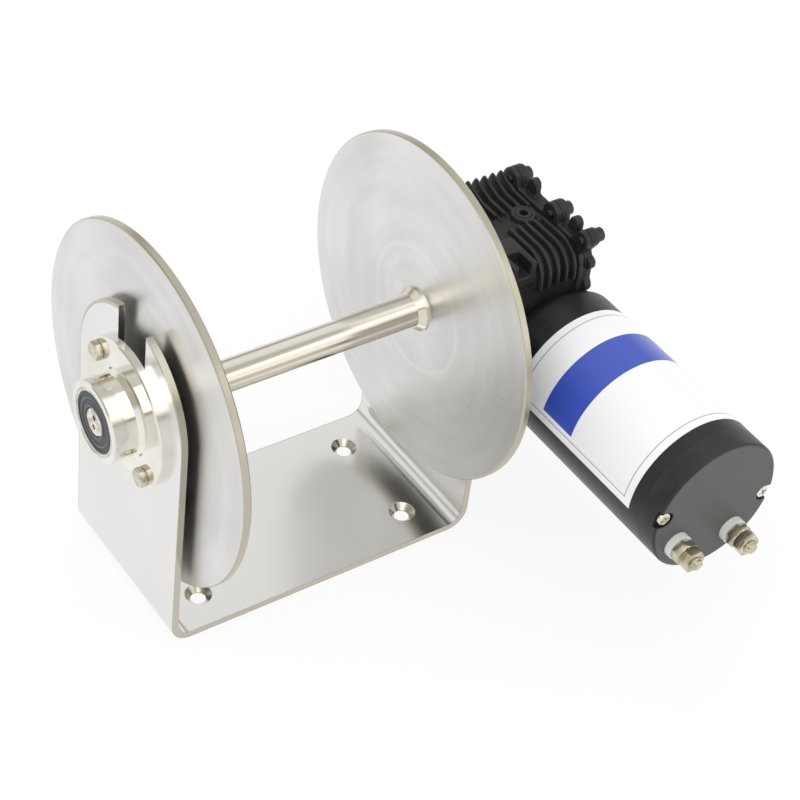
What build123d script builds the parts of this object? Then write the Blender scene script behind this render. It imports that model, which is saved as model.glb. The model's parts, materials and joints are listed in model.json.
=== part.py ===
from build123d import *
import math
import os

os.makedirs("parts", exist_ok=True)

# The drum axis lies along X and the motor axis along Y, crossing below it at a right angle.
# Z is up. The origin is the centre of the bracket's underside.

# Base bracket, one bent plate
BASE_LENGTH = 204.0
BASE_WIDTH = 110.0
PLATE = 4.0
BEND_RADIUS = 9.0
AXIS_HEIGHT = 134.0
TOP_RISE = 9.0
SLOT_WIDTH = 29.0
MOUNT_SPACING_X = 142.0
MOUNT_SPACING_Y = 64.0
MOUNT_HOLE = 9.0
MOUNT_COUNTERSINK = 16.0

# Fits
RUNNING_CLEARANCE = 0.05
PRESS_CLEARANCE = 0.02
BOLT_CLEARANCE = 0.5
EDGE_BREAK = 0.8

# Rope drum
DISC_DIAMETER = 210.0
DISC_THICKNESS = 5.0
NEAR_DISC_GAP = 4.0
FAR_DISC_GAP = 7.0
SHAFT_DIAMETER = 19.0
COLLAR_DIAMETER = 27.0
COLLAR_LENGTH = 5.0
COLLAR_LIP = 1.2
SHAFT_PIN_HOLE = 3.2
SHAFT_PIN_SPACING = 6.6
SHAFT_PIN_DEPTH = 2.5

# Drum bearings, three alike
BEARING_BORE = 17.0
BEARING_OUTSIDE = 40.0
BEARING_WIDTH = 12.0
BEARING_INNER_RACE = 22.0
ROLLER_DIAMETER = 6.5
ROLLER_LENGTH = 7.0
ROLLER_COUNT = 13
RING_RIB = 1.1
RING_RIB_HEIGHT = 1.4
SEAL_SEAT_DIAMETER = 36.0
SEAL_THICKNESS = 1.1
SEAL_RECESS = 0.15
SEAL_GAP = 0.1

# Near bearing housing
HOUSING_FLANGE_DIAMETER = 86.0
HOUSING_FLANGE = 5.0
BOSS_DIAMETER = 47.5
BOSS_LENGTH = 17.0
BOSS_ROOT = 2.5
BEARING_SINK = 0.5
SHOULDER_BORE = 32.0
HOUSING_BOLT = 6.0
HOUSING_BOLT_CIRCLE = 72.0
HOUSING_BOLT_ANGLE = 45.0
HOUSING_BOLT_ACROSS_FLATS = 10.0
HOUSING_BOLT_HEAD = 4.0
HEX_CORNER_FLAT = 0.95
HEX_CORNER_SLOPE = 30.0

# Worm drive
MODULE = 2.0
WHEEL_TEETH = 19
WORM_PITCH_DIAMETER = 18.0
WORM_LENGTH = 26.0
WHEEL_FACE = 14.0
WHEEL_HUB_DIAMETER = 26.0
WHEEL_HUB_LENGTH = 33.0
WORM_FROM_HUB_START = 24.0
TOOTH_ADDENDUM = 2.0
TOOTH_DEDENDUM = 2.4
THREAD_CREST = 1.144
THREAD_ROOT = 4.35
THREAD_SINK = 0.4
TOOTH_TIP = 1.1
TOOTH_PITCH_WIDTH = 2.75
TOOTH_ROOT = 4.2
KEY_WIDTH = 5.0
KEY_HEIGHT = 5.0
KEY_LENGTH = 22.0
KEY_SHAFT_DEPTH = 3.0
KEY_HUB_DEPTH = 2.3
CIRCLIP_THICKNESS = 1.2
CIRCLIP_DEPTH = 0.5
CIRCLIP_HEIGHT = 3.0
CIRCLIP_OPENING = 60.0
SHAFT_TAIL = 1.8

# Gearbox housing and cover
NECK_FLANGE_DIAMETER = 80.0
NECK_FLANGE = 8.0
NECK_DIAMETER = 52.0
GEARBOX_BACK = 16.0
GEARBOX_HALF_WIDTH = 36.0
GEARBOX_ABOVE_AXIS = 38.0
GEARBOX_BELOW_WORM = 24.0
GEARBOX_CORNER = 12.0
GASKET = 1.0
COVER_SPLIT = 6.0
COVER_THICKNESS = 5.0
COVER_STEP = 7.0
COVER_STEP_HEIGHT = 3.0
COVER_BOSS_DIAMETER = 54.0
COVER_BOSS_HEIGHT = 7.0
SPIGOT_LIP = 1.0
SHAFT_END_GAP = 1.0
WHEEL_CHAMBER_DIAMETER = 48.0
WORM_TUBE_DIAMETER = 25.0
SPIGOT_CLEARANCE = 0.05
MOUNT_SCREW = 6.0
MOUNT_SCREW_CIRCLE = 60.0
MOUNT_SCREW_LENGTH = 11.0
MOUNT_SCREW_HEAD = 12.0
OIL_SEAL_OUTSIDE = 35.0
OIL_SEAL_WIDTH = 7.0
OIL_SEAL_INSET = 10.0
OIL_SEAL_WALL = 2.0
OIL_SEAL_WEB = 2.5
NECK_SHOULDER = 5.0
NECK_SHOULDER_BORE = 30.0
FIN_THICKNESS = 2.2
FIN_PITCH = 6.0
FIN_HEIGHT = 4.5
REAR_FIN_RISE = 5.0
REAR_FIN_RISE_START = 22.0
REAR_FINS = 8
FRONT_FINS = 5
FIRST_FIN_FROM_FACE = 8.0
REAR_FIN_START = 8.0
FRONT_FIN_START = 5.0
REAR_FIN_DEPTH = 14.0
FRONT_FIN_DEPTH = 18.0
RIM_WIDTH = 3.0
RIM_THICKNESS = 4.0
COVER_SCREW = 5.0
COVER_SCREW_HEAD = 8.5
COVER_SCREW_HEAD_HEIGHT = 4.5
COVER_SCREW_END = 1.5
FILLER_BOSS_DIAMETER = 15.0
FILLER_BOSS_Y = 3.0
FILLER_BOSS_OFFSET = -1.0
FILLER_THREAD = 10.0
FILLER_SOCKET = 5.0
FILLER_DEPTH = 9.0
PAD_FROM_BACK = 4.0
PAD_LENGTH = 17.0
PAD_WIDTH = 26.0
PAD_START = 12.0
PAD_SLOT_INSET = 4.0
PAD_SLOT_WIDTH = 9.0
PAD_SLOT_LENGTH = 13.0
PAD_SLOT_DEPTH = 9.0

# Worm bearings
BUSH_LENGTH = 12.0
BUSH_INNER_FACE = 20.0
WORM_SHAFT_DIAMETER = 12.0
WORM_SEAL_LENGTH = 4.0
END_PLUG_SOCKET = 10.0
END_PLUG_FLOOR = 1.0

# Motor
MOTOR_DIAMETER = 86.0
MOTOR_PAD = 4.0
MOTOR_PAD_DIAMETER = 68.0
BELL_LENGTH = 16.0
BELL_ROUND = 6.0
BELL_WALL = 5.0
BELL_RIM = 9.5
CAN_LENGTH = 121.0
CAN_WALL = 2.2
END_CAP_LENGTH = 14.7
END_CAP_BEVEL = 1.5
END_CAP_RIM = 6.5
END_CAP_RECESS = 4.0
END_BOSS_DIAMETER = 28.0
END_BOSS_LENGTH = 5.0
END_BUSH_OUTSIDE = 20.0
END_BUSH_LENGTH = 14.0
MOTOR_SCREW = 5.0
MOTOR_SCREW_CIRCLE = 40.0
MOTOR_SCREW_ANGLES = (60.0, 120.0, 240.0, 300.0)
HOLE_END = 0.5
MOTOR_SCREW_DEPTH = 10.0
MOTOR_SCREW_HEAD = 8.5
MOTOR_SCREW_HEAD_HEIGHT = 3.5
CORE_DIAMETER = 59.0
CORE_START = 16.0
CORE_SLOTS = 12
CORE_SLOT_WIDTH = 4.4
CORE_SLOT_ROOT = 17.0
COIL_CLEARANCE = 0.2
COIL_OUTER = 27.0
COIL_INNER = 13.0
COIL_END = 8.0
COMMUTATOR_DIAMETER = 30.0
COMMUTATOR_LENGTH = 16.0
COMMUTATOR_GAP = 2.0
COMMUTATOR_FROM_BOSS = 4.0
COMMUTATOR_CUT = 0.8
MAGNET_INNER_DIAMETER = 62.0
MAGNET_OVERHANG = 2.0
MAGNET_ARC = 126.0
BOND_GAP = 0.1
THROUGH_BOLT = 5.0
THROUGH_BOLT_INSET = 5.1
THROUGH_BOLT_ANGLE = -10.0
THROUGH_BOLT_HEAD = 8.5
THROUGH_BOLT_NOTCH = 10.5
THROUGH_BOLT_NOTCH_DEPTH = 3.6
THROUGH_BOLT_HEAD_HEIGHT = 3.0
THROUGH_BOLT_GRIP = 8.0
BRUSH_PLATE = 3.0
BRUSH_PLATE_INSET = 1.0
BRUSH_PLATE_BORE = 32.0
BRUSH_WIDTH = 7.0
BRUSH_THICKNESS = 10.0
BRUSH_LENGTH = 16.0
BRUSH_GAP = 0.3
BRUSH_BOX_WALL = 1.5
BRUSH_BOX_START = 2.0
BRUSH_BOX_INSET = 5.0
BRUSH_ANGLE = 35.0
SPRING_STRIP = 0.5

# Terminals
TERMINAL_STUD = 8.0
TERMINAL_CIRCLE = 60.0
TERMINAL_ANGLES = (-145.0, -55.0)
TERMINAL_LENGTH = 20.0
TERMINAL_NUT = 6.5
TERMINAL_NUT_ACROSS_FLATS = 13.0
TERMINAL_NUT_TURNS = (8.0, 32.0)
INSULATOR_DIAMETER = 16.0
INSULATOR_THICKNESS = 4.0
INSULATOR_SLEEVE = 12.0
STUD_HEAD = 12.0
STUD_HEAD_HEIGHT = 3.0

# Label wrap
LABEL_THICKNESS = 0.3
LABEL_FROM_SEAM = 8.0
LABEL_FROM_CAP = 8.5
LABEL_START_ANGLE = -2.0
LABEL_END_ANGLE = 182.0

# Places that follow from the sizes above
NEAR_OUTER = -BASE_LENGTH / 2
NEAR_INNER = NEAR_OUTER + PLATE
FAR_OUTER = BASE_LENGTH / 2
FAR_INNER = FAR_OUTER - PLATE
TOP_CENTRE = AXIS_HEIGHT + TOP_RISE
NEAR_DISC = NEAR_INNER + NEAR_DISC_GAP
FAR_DISC = FAR_INNER - FAR_DISC_GAP - DISC_THICKNESS

FLANGE_FACE = NEAR_OUTER - HOUSING_FLANGE
BOSS_FACE = FLANGE_FACE - BOSS_LENGTH
NEAR_BEARING = BOSS_FACE + BEARING_SINK
NEAR_SHOULDER = NEAR_BEARING + BEARING_WIDTH

NECK_FACE = FAR_OUTER + NECK_FLANGE
GEARBOX_START = FAR_OUTER + GEARBOX_BACK
SEAL_START = FAR_OUTER + OIL_SEAL_INSET
SEAL_END = SEAL_START + OIL_SEAL_WIDTH
BACK_BEARING = SEAL_END + NECK_SHOULDER
WHEEL_HUB_START = BACK_BEARING + BEARING_WIDTH
FRONT_BEARING = WHEEL_HUB_START + WHEEL_HUB_LENGTH
SHAFT_END = FRONT_BEARING + BEARING_WIDTH + CIRCLIP_THICKNESS + SHAFT_TAIL
WHEEL_HUB_MIDDLE = (WHEEL_HUB_START + FRONT_BEARING) / 2
MOTOR_X = WHEEL_HUB_START + WORM_FROM_HUB_START
WHEEL_PITCH_RADIUS = MODULE * WHEEL_TEETH / 2
WORM_PITCH_RADIUS = WORM_PITCH_DIAMETER / 2
MOTOR_Z = AXIS_HEIGHT - WHEEL_PITCH_RADIUS - WORM_PITCH_RADIUS
GEARBOX_END = FRONT_BEARING + COVER_SPLIT
RIM_START = GEARBOX_END - RIM_THICKNESS
COVER_START = GEARBOX_END + GASKET
COVER_END = COVER_START + COVER_THICKNESS
GEARBOX_TOP = AXIS_HEIGHT + GEARBOX_ABOVE_AXIS
GEARBOX_BOTTOM = MOTOR_Z - GEARBOX_BELOW_WORM
GEARBOX_HEIGHT = GEARBOX_TOP - GEARBOX_BOTTOM
GEARBOX_MIDDLE = (GEARBOX_TOP + GEARBOX_BOTTOM) / 2

BUSH_OUTER_FACE = BUSH_INNER_FACE + BUSH_LENGTH
MOTOR_FACE = -GEARBOX_HALF_WIDTH - MOTOR_PAD
BELL_SEAM = MOTOR_FACE - BELL_LENGTH
CAN_END = BELL_SEAM - CAN_LENGTH
CAP_FACE = CAN_END - END_CAP_LENGTH
CAP_RECESS_FLOOR = CAN_END - END_CAP_RECESS
END_BOSS_FACE = CAN_END + END_BOSS_LENGTH
END_BUSH_END = END_BOSS_FACE - END_BUSH_LENGTH
WORM_SHAFT_END = END_BUSH_END + END_PLUG_FLOOR
COMMUTATOR_FAR = END_BOSS_FACE + COMMUTATOR_FROM_BOSS
COMMUTATOR_NEAR = COMMUTATOR_FAR + COMMUTATOR_LENGTH
BRUSH_MIDDLE = (COMMUTATOR_NEAR + COMMUTATOR_FAR) / 2
CORE_FAR = COMMUTATOR_NEAR + COMMUTATOR_GAP + COIL_END
CORE_NEAR = BELL_SEAM - CORE_START
CAN_BORE = MOTOR_DIAMETER / 2 - CAN_WALL
BRUSH_BOX_REACH = CAN_BORE - BRUSH_BOX_INSET
LABEL_LENGTH = CAN_LENGTH - LABEL_FROM_SEAM - LABEL_FROM_CAP

BEARING_STARTS = (NEAR_BEARING, BACK_BEARING, FRONT_BEARING)
NEAR_INNER_RING = NEAR_BEARING + SEAL_RECESS + SEAL_THICKNESS + SEAL_GAP
INNER_RACE_RADIUS = BEARING_INNER_RACE / 2
ROLLER_CIRCLE_RADIUS = INNER_RACE_RADIUS + RUNNING_CLEARANCE + ROLLER_DIAMETER / 2
OUTER_RACE_RADIUS = ROLLER_CIRCLE_RADIUS + ROLLER_DIAMETER / 2 + RUNNING_CLEARANCE

# Screw lugs round the gearbox outline: distance across from the drum axis, height above it, radius
LUG_PLACES = (
    (-6.5, 44.0, 7.0),
    (33.0, 43.0, 7.0),
    (-36.0, 45.0, 5.5),
    (40.0, 2.0, 6.0),
    (36.0, -51.0, 6.0),
    (-22.0, -56.0, 6.0),
)
# Short nubs on the cover alone, where it is levered off
NUB_PLACES = (
    (19.0, 46.0, 4.0),
    (-22.0, 46.0, 4.0),
    (-38.0, 28.0, 4.0),
    (-36.0, 12.0, 5.5),
)


def turned_on_drum(points):
    """Solid of revolution about the drum axis, from (x, radius) points."""
    outline = make_face(Polyline(*points, close=True))
    return Pos(0, 0, AXIS_HEIGHT) * revolve(outline, Axis.X)


def turned_on_motor(points):
    """Solid of revolution about the motor axis, from (y, radius) points."""
    outline = make_face(Polyline(*[(radius, y) for y, radius in points], close=True))
    return Pos(MOTOR_X, 0, MOTOR_Z) * revolve(outline, Axis.Y)


def rod_x(radius, start, end, y=0.0, z=AXIS_HEIGHT):
    """Round bar along X."""
    return Pos((start + end) / 2, y, z) * Rot(0, 90, 0) * Cylinder(radius, abs(end - start))


def rod_y(radius, start, end, x=MOTOR_X, z=MOTOR_Z):
    """Round bar along Y."""
    return Pos(x, (start + end) / 2, z) * Rot(90, 0, 0) * Cylinder(radius, abs(end - start))


def cone_x(start, start_radius, end, end_radius, y, z):
    """Cone along X with a radius at each end."""
    outline = make_face(Polyline((start, 0), (start, start_radius), (end, end_radius), (end, 0), close=True))
    return Pos(0, y, z) * revolve(outline, Axis.X)


def block(x_range, y_range, z_range):
    """Box between two limits along each axis."""
    centre = [sum(limits) / 2 for limits in (x_range, y_range, z_range)]
    size = [abs(limits[1] - limits[0]) for limits in (x_range, y_range, z_range)]
    return Pos(*centre) * Box(*size)


def round_the_drum(radius, angle):
    """Y and Z of a point on a circle about the drum axis."""
    y = radius * math.cos(math.radians(angle))
    z = AXIS_HEIGHT + radius * math.sin(math.radians(angle))
    return y, z


def round_the_motor(radius, angle):
    """X and Z of a point on a circle about the motor axis."""
    x = MOTOR_X + radius * math.cos(math.radians(angle))
    z = MOTOR_Z + radius * math.sin(math.radians(angle))
    return x, z


def hex_prism(across_flats, height):
    """Hexagon along Z from zero up, with its upper corners turned off."""
    prism = extrude(RegularPolygon(across_flats / 2, 6, major_radius=False), height)
    corner_radius = across_flats / math.sqrt(3)
    flat_radius = HEX_CORNER_FLAT * across_flats / 2
    slope = (corner_radius - flat_radius) * math.tan(math.radians(HEX_CORNER_SLOPE))
    cone_points = (
        (0, 0),
        (corner_radius, 0),
        (corner_radius, height - slope),
        (flat_radius, height),
        (0, height),
    )
    turned = Rot(90, 0, 0) * revolve(make_face(Polyline(*cone_points, close=True)), Axis.Y)
    return prism & turned


def base_bracket():
    """One plate bent to a U, with round-topped uprights slotted from above."""
    height = TOP_CENTRE + BASE_WIDTH / 2
    outside = Pos(0, 0, height / 2) * Box(BASE_LENGTH, BASE_WIDTH, height)
    outside = fillet(outside.edges().filter_by(Axis.Y).group_by(Axis.Z)[0], BEND_RADIUS + PLATE)
    inside = Pos(0, 0, PLATE + height / 2) * Box(BASE_LENGTH - 2 * PLATE, BASE_WIDTH, height)
    inside = fillet(inside.edges().filter_by(Axis.Y).group_by(Axis.Z)[0], BEND_RADIUS)
    side = Pos(0, TOP_CENTRE) * Circle(BASE_WIDTH / 2)
    side += Pos(0, TOP_CENTRE / 2) * Rectangle(BASE_WIDTH, TOP_CENTRE)
    slot = Pos(0, AXIS_HEIGHT) * Circle(SLOT_WIDTH / 2)
    slot += Pos(0, AXIS_HEIGHT + height / 2) * Rectangle(SLOT_WIDTH, height)
    profile = extrude(Plane.YZ * (side - slot), BASE_LENGTH, both=True)
    bracket = (outside - inside) & profile
    for x in (-MOUNT_SPACING_X / 2, MOUNT_SPACING_X / 2):
        for y in (-MOUNT_SPACING_Y / 2, MOUNT_SPACING_Y / 2):
            bracket -= Pos(x, y, PLATE / 2) * Cylinder(MOUNT_HOLE / 2, PLATE)
            depth = (MOUNT_COUNTERSINK - MOUNT_HOLE) / 2
            bracket -= Pos(x, y, PLATE - depth / 2) * Cone(MOUNT_HOLE / 2, MOUNT_COUNTERSINK / 2, depth)
    for y, z in housing_bolt_places():
        bracket -= rod_x(HOUSING_BOLT / 2 + RUNNING_CLEARANCE, NEAR_OUTER, NEAR_INNER, y, z)
    for y, z in mount_screw_places():
        radius = MOUNT_SCREW / 2 + BOLT_CLEARANCE / 2
        head = MOUNT_SCREW_HEAD / 2 + BOLT_CLEARANCE / 2
        bracket -= rod_x(radius, FAR_INNER, FAR_OUTER, y, z)
        bracket -= cone_x(FAR_INNER, head, FAR_INNER + head - radius, radius, y, z)
    return bracket


def housing_bolt_places():
    """The two bolts stand opposite each other."""
    radius = HOUSING_BOLT_CIRCLE / 2
    return [round_the_drum(radius, HOUSING_BOLT_ANGLE + turn) for turn in (0, 180)]


def mount_screw_places():
    """Four screws hold the gearbox to the far upright."""
    return [round_the_drum(MOUNT_SCREW_CIRCLE / 2, 45 + 90 * k) for k in range(4)]


def bearing_housing():
    """Round flange with a boss that holds the near bearing."""
    boss = BOSS_DIAMETER / 2
    body = turned_on_drum([
        (NEAR_OUTER, SHOULDER_BORE / 2),
        (NEAR_SHOULDER, SHOULDER_BORE / 2),
        (NEAR_SHOULDER, BEARING_OUTSIDE / 2),
        (BOSS_FACE + EDGE_BREAK / 2, BEARING_OUTSIDE / 2),
        (BOSS_FACE, BEARING_OUTSIDE / 2 + EDGE_BREAK / 2),
        (BOSS_FACE, boss - EDGE_BREAK),
        (BOSS_FACE + EDGE_BREAK, boss),
        (FLANGE_FACE - BOSS_ROOT, boss),
        (FLANGE_FACE, boss + BOSS_ROOT),
        (FLANGE_FACE, HOUSING_FLANGE_DIAMETER / 2 - EDGE_BREAK),
        (FLANGE_FACE + EDGE_BREAK, HOUSING_FLANGE_DIAMETER / 2),
        (NEAR_OUTER, HOUSING_FLANGE_DIAMETER / 2),
    ])
    for y, z in housing_bolt_places():
        body -= rod_x((HOUSING_BOLT + BOLT_CLEARANCE) / 2, FLANGE_FACE, NEAR_OUTER, y, z)
    return body


def housing_bolts():
    """Hex bolts that end flush with the upright's inner face."""
    bolts = []
    for y, z in housing_bolt_places():
        head = Pos(FLANGE_FACE, y, z) * Rot(0, -90, 0) * hex_prism(HOUSING_BOLT_ACROSS_FLATS, HOUSING_BOLT_HEAD)
        bolts.append(head + rod_x(HOUSING_BOLT / 2, FLANGE_FACE, NEAR_INNER, y, z))
    return bolts


def bearing_outer_rings():
    """Outer rings with two ribs that hold the rollers and a seat for a seal on each side."""
    half_groove = ROLLER_LENGTH / 2 + RUNNING_CLEARANCE * 2
    rib = OUTER_RACE_RADIUS - RING_RIB_HEIGHT
    seat = SEAL_SEAT_DIAMETER / 2
    rings = []
    for start in BEARING_STARTS:
        middle = start + BEARING_WIDTH / 2
        end = start + BEARING_WIDTH
        rings.append(turned_on_drum([
            (start, BEARING_OUTSIDE / 2 - PRESS_CLEARANCE),
            (end, BEARING_OUTSIDE / 2 - PRESS_CLEARANCE),
            (end, seat),
            (middle + half_groove + RING_RIB, seat),
            (middle + half_groove + RING_RIB, rib),
            (middle + half_groove, rib),
            (middle + half_groove, OUTER_RACE_RADIUS),
            (middle - half_groove, OUTER_RACE_RADIUS),
            (middle - half_groove, rib),
            (middle - half_groove - RING_RIB, rib),
            (middle - half_groove - RING_RIB, seat),
            (start, seat),
        ]))
    return rings


def bearing_inner_rings():
    """Plain inner rings on the shaft journals; the near one stands back behind its seal."""
    rings = []
    for bearing_start, start in zip(BEARING_STARTS, (NEAR_INNER_RING, BACK_BEARING, FRONT_BEARING)):
        end = bearing_start + BEARING_WIDTH
        rings.append(turned_on_drum([
            (start, BEARING_BORE / 2 + PRESS_CLEARANCE),
            (end, BEARING_BORE / 2 + PRESS_CLEARANCE),
            (end, INNER_RACE_RADIUS),
            (start, INNER_RACE_RADIUS),
        ]))
    return rings


def bearing_rollers():
    """A full row of rollers in each bearing."""
    rollers = []
    for start in BEARING_STARTS:
        middle = start + BEARING_WIDTH / 2
        for k in range(ROLLER_COUNT):
            y, z = round_the_drum(ROLLER_CIRCLE_RADIUS, 360 * k / ROLLER_COUNT)
            rollers.append(rod_x(ROLLER_DIAMETER / 2, middle - ROLLER_LENGTH / 2, middle + ROLLER_LENGTH / 2, y, z))
    return rollers


def bearing_seals():
    """Rubber seals of the near bearing: the outside one runs on the journal, the inside one on the inner ring."""
    outer = SEAL_SEAT_DIAMETER / 2 - PRESS_CLEARANCE
    seals = []
    for face, inward, runs_on in ((NEAR_BEARING, 1, BEARING_BORE / 2), (NEAR_SHOULDER, -1, INNER_RACE_RADIUS)):
        front = face + inward * SEAL_RECESS
        back = front + inward * SEAL_THICKNESS
        inner = runs_on + RUNNING_CLEARANCE
        seals.append(turned_on_drum([(front, inner), (front, outer), (back, outer), (back, inner)]))
    return seals


def drum_shaft():
    """Steel shaft with a journal at each end and a keyway for the worm wheel."""
    journal = BEARING_BORE / 2
    body = SHAFT_DIAMETER / 2
    groove = FRONT_BEARING + BEARING_WIDTH
    shaft = turned_on_drum([
        (NEAR_BEARING, 0),
        (NEAR_BEARING, journal - EDGE_BREAK),
        (NEAR_BEARING + EDGE_BREAK, journal),
        (NEAR_SHOULDER, journal),
        (NEAR_SHOULDER, body - EDGE_BREAK / 2),
        (NEAR_SHOULDER + EDGE_BREAK / 2, body),
        (BACK_BEARING - EDGE_BREAK / 2, body),
        (BACK_BEARING, body - EDGE_BREAK / 2),
        (BACK_BEARING, journal),
        (groove, journal),
        (groove, journal - CIRCLIP_DEPTH),
        (groove + CIRCLIP_THICKNESS, journal - CIRCLIP_DEPTH),
        (groove + CIRCLIP_THICKNESS, journal),
        (SHAFT_END - EDGE_BREAK, journal),
        (SHAFT_END, journal - EDGE_BREAK),
        (SHAFT_END, 0),
    ])
    for side in (-1, 1):
        z = AXIS_HEIGHT + side * SHAFT_PIN_SPACING / 2
        shaft -= rod_x(SHAFT_PIN_HOLE / 2, NEAR_BEARING, NEAR_BEARING + SHAFT_PIN_DEPTH, 0, z)
    return shaft - key_blank(journal - KEY_SHAFT_DEPTH, journal + 1)


def key_blank(low, high):
    """Upright block of the key's length and width, between two radii of the shaft."""
    x_range = (WHEEL_HUB_MIDDLE - KEY_LENGTH / 2, WHEEL_HUB_MIDDLE + KEY_LENGTH / 2)
    return block(x_range, (-KEY_WIDTH / 2, KEY_WIDTH / 2), (AXIS_HEIGHT + low, AXIS_HEIGHT + high))


def wheel_key():
    """Parallel key between shaft and wheel hub."""
    low = BEARING_BORE / 2 - KEY_SHAFT_DEPTH
    return key_blank(low, low + KEY_HEIGHT)


def drum_disc(start):
    """Thin round side plate of the drum."""
    radius = DISC_DIAMETER / 2
    end = start + DISC_THICKNESS
    bore = SHAFT_DIAMETER / 2 + PRESS_CLEARANCE
    return turned_on_drum([
        (start, bore),
        (start, radius - EDGE_BREAK),
        (start + EDGE_BREAK, radius),
        (end - EDGE_BREAK, radius),
        (end, radius - EDGE_BREAK),
        (end, bore),
    ])


def hub_collars():
    """Cone collars where the shaft meets the inner face of each disc."""
    collars = []
    for face, away in ((NEAR_DISC + DISC_THICKNESS, 1), (FAR_DISC, -1)):
        collars.append(turned_on_drum([
            (face, SHAFT_DIAMETER / 2 + PRESS_CLEARANCE),
            (face, COLLAR_DIAMETER / 2),
            (face + away * COLLAR_LIP, COLLAR_DIAMETER / 2),
            (face + away * COLLAR_LENGTH, SHAFT_DIAMETER / 2 + EDGE_BREAK),
            (face + away * COLLAR_LENGTH, SHAFT_DIAMETER / 2 + PRESS_CLEARANCE),
        ]))
    return collars


def shaft_circlip():
    """Open retaining ring in the groove at the shaft's far end."""
    start = FRONT_BEARING + BEARING_WIDTH
    end = start + CIRCLIP_THICKNESS
    inner = BEARING_BORE / 2 - CIRCLIP_DEPTH + PRESS_CLEARANCE
    ring = turned_on_drum([
        (start, inner),
        (end, inner),
        (end, inner + CIRCLIP_HEIGHT),
        (start, inner + CIRCLIP_HEIGHT),
    ])
    half = (inner + CIRCLIP_HEIGHT) * math.sin(math.radians(CIRCLIP_OPENING / 2))
    return ring - block((start, end), (-half, half), (AXIS_HEIGHT - BEARING_OUTSIDE, AXIS_HEIGHT))


def wheel_section():
    """Toothed outline with a space at the bottom, in the plane whose normal is X."""
    radii = (
        WHEEL_PITCH_RADIUS - TOOTH_DEDENDUM,
        WHEEL_PITCH_RADIUS,
        WHEEL_PITCH_RADIUS + TOOTH_ADDENDUM,
    )
    widths = (TOOTH_ROOT, TOOTH_PITCH_WIDTH, TOOTH_TIP)
    halves = [math.degrees(width / 2 / radius) for width, radius in zip(widths, radii)]
    step = 360 / WHEEL_TEETH

    def spot(radius, angle):
        return radius * math.cos(math.radians(angle)), radius * math.sin(math.radians(angle))

    edges = []
    for k in range(WHEEL_TEETH):
        middle = -90 + (k + 0.5) * step
        rising = [spot(radius, middle - half) for radius, half in zip(radii, halves)]
        falling = [spot(radius, middle + half) for radius, half in zip(radii, halves)]
        next_root = spot(radii[0], middle + step - halves[0])
        edges.append(ThreePointArc(*rising))
        edges.append(Line(rising[2], falling[2]))
        edges.append(ThreePointArc(*reversed(falling)))
        edges.append(Line(falling[0], next_root))
    return make_face(Curve() + edges)


def worm_wheel():
    """Helical bronze wheel on a long keyed hub."""
    lead_angle = math.atan(MODULE / WORM_PITCH_DIAMETER)
    twist = math.degrees(WHEEL_FACE * math.tan(lead_angle) / WHEEL_PITCH_RADIUS)
    plane = Plane(origin=(0, 0, 0), x_dir=(0, 1, 0), z_dir=(1, 0, 0))
    section = Rot(0, 0, -twist / 2) * wheel_section()
    toothed = Solid.extrude_linear_with_rotation(section.face(), (0, 0, 0), (0, 0, WHEEL_FACE), twist)
    rim = Pos(MOTOR_X - WHEEL_FACE / 2, 0, AXIS_HEIGHT) * plane.location * toothed
    hub = rod_x(WHEEL_HUB_DIAMETER / 2, WHEEL_HUB_START, FRONT_BEARING)
    bore = rod_x(BEARING_BORE / 2 + PRESS_CLEARANCE, WHEEL_HUB_START, FRONT_BEARING)
    keyway = block(
        (WHEEL_HUB_START, FRONT_BEARING),
        (-KEY_WIDTH / 2, KEY_WIDTH / 2),
        (AXIS_HEIGHT, AXIS_HEIGHT + BEARING_BORE / 2 + KEY_HUB_DEPTH),
    )
    return Part() + rim + hub - bore - keyway


def worm_shaft():
    """Armature shaft with a single-start worm cut on its gearbox end."""
    pitch = math.pi * MODULE
    tip = WORM_PITCH_RADIUS + TOOTH_ADDENDUM
    root = WORM_PITCH_RADIUS - TOOTH_DEDENDUM
    flank_slope = (THREAD_ROOT - THREAD_CREST) / 2 / (tip - root)
    half_base = THREAD_ROOT / 2 + flank_slope * THREAD_SINK
    profile = Plane.XZ * make_face(Polyline(
        (root - THREAD_SINK, -half_base),
        (tip, -THREAD_CREST / 2),
        (tip, THREAD_CREST / 2),
        (root - THREAD_SINK, half_base),
        close=True,
    ))
    thread = sweep(profile, path=Helix(pitch, WORM_LENGTH + pitch, root), is_frenet=True)
    core = Pos(0, 0, WORM_LENGTH / 2) * Cylinder(root, WORM_LENGTH)
    ends = Pos(0, 0, WORM_LENGTH / 2) * Cylinder(tip + THREAD_SINK, WORM_LENGTH)
    threaded = core + ((Pos(0, 0, -pitch / 2) * Rot(0, 0, -180) * thread) & ends)
    start_angle = -90 - 180 * WORM_LENGTH / pitch
    plane = Plane(origin=(0, 0, 0), x_dir=(1, 0, 0), z_dir=(0, 1, 0))
    worm = Pos(MOTOR_X, -WORM_LENGTH / 2, MOTOR_Z) * plane.location * Rot(0, 0, start_angle) * threaded
    return worm + rod_y(WORM_SHAFT_DIAMETER / 2, WORM_SHAFT_END, BUSH_OUTER_FACE)


def gearbox_outline(grow=0.0):
    """Rounded outline of the casting, seen along X, grown outwards."""
    size = (2 * GEARBOX_HALF_WIDTH + 2 * grow, GEARBOX_HEIGHT + 2 * grow)
    return Plane.YZ * (Pos(0, GEARBOX_MIDDLE) * RectangleRounded(*size, GEARBOX_CORNER + grow))


def slab(outline, start, end):
    """Outline seen along X made solid between two places."""
    return Pos(start, 0, 0) * extrude(outline, end - start)


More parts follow.
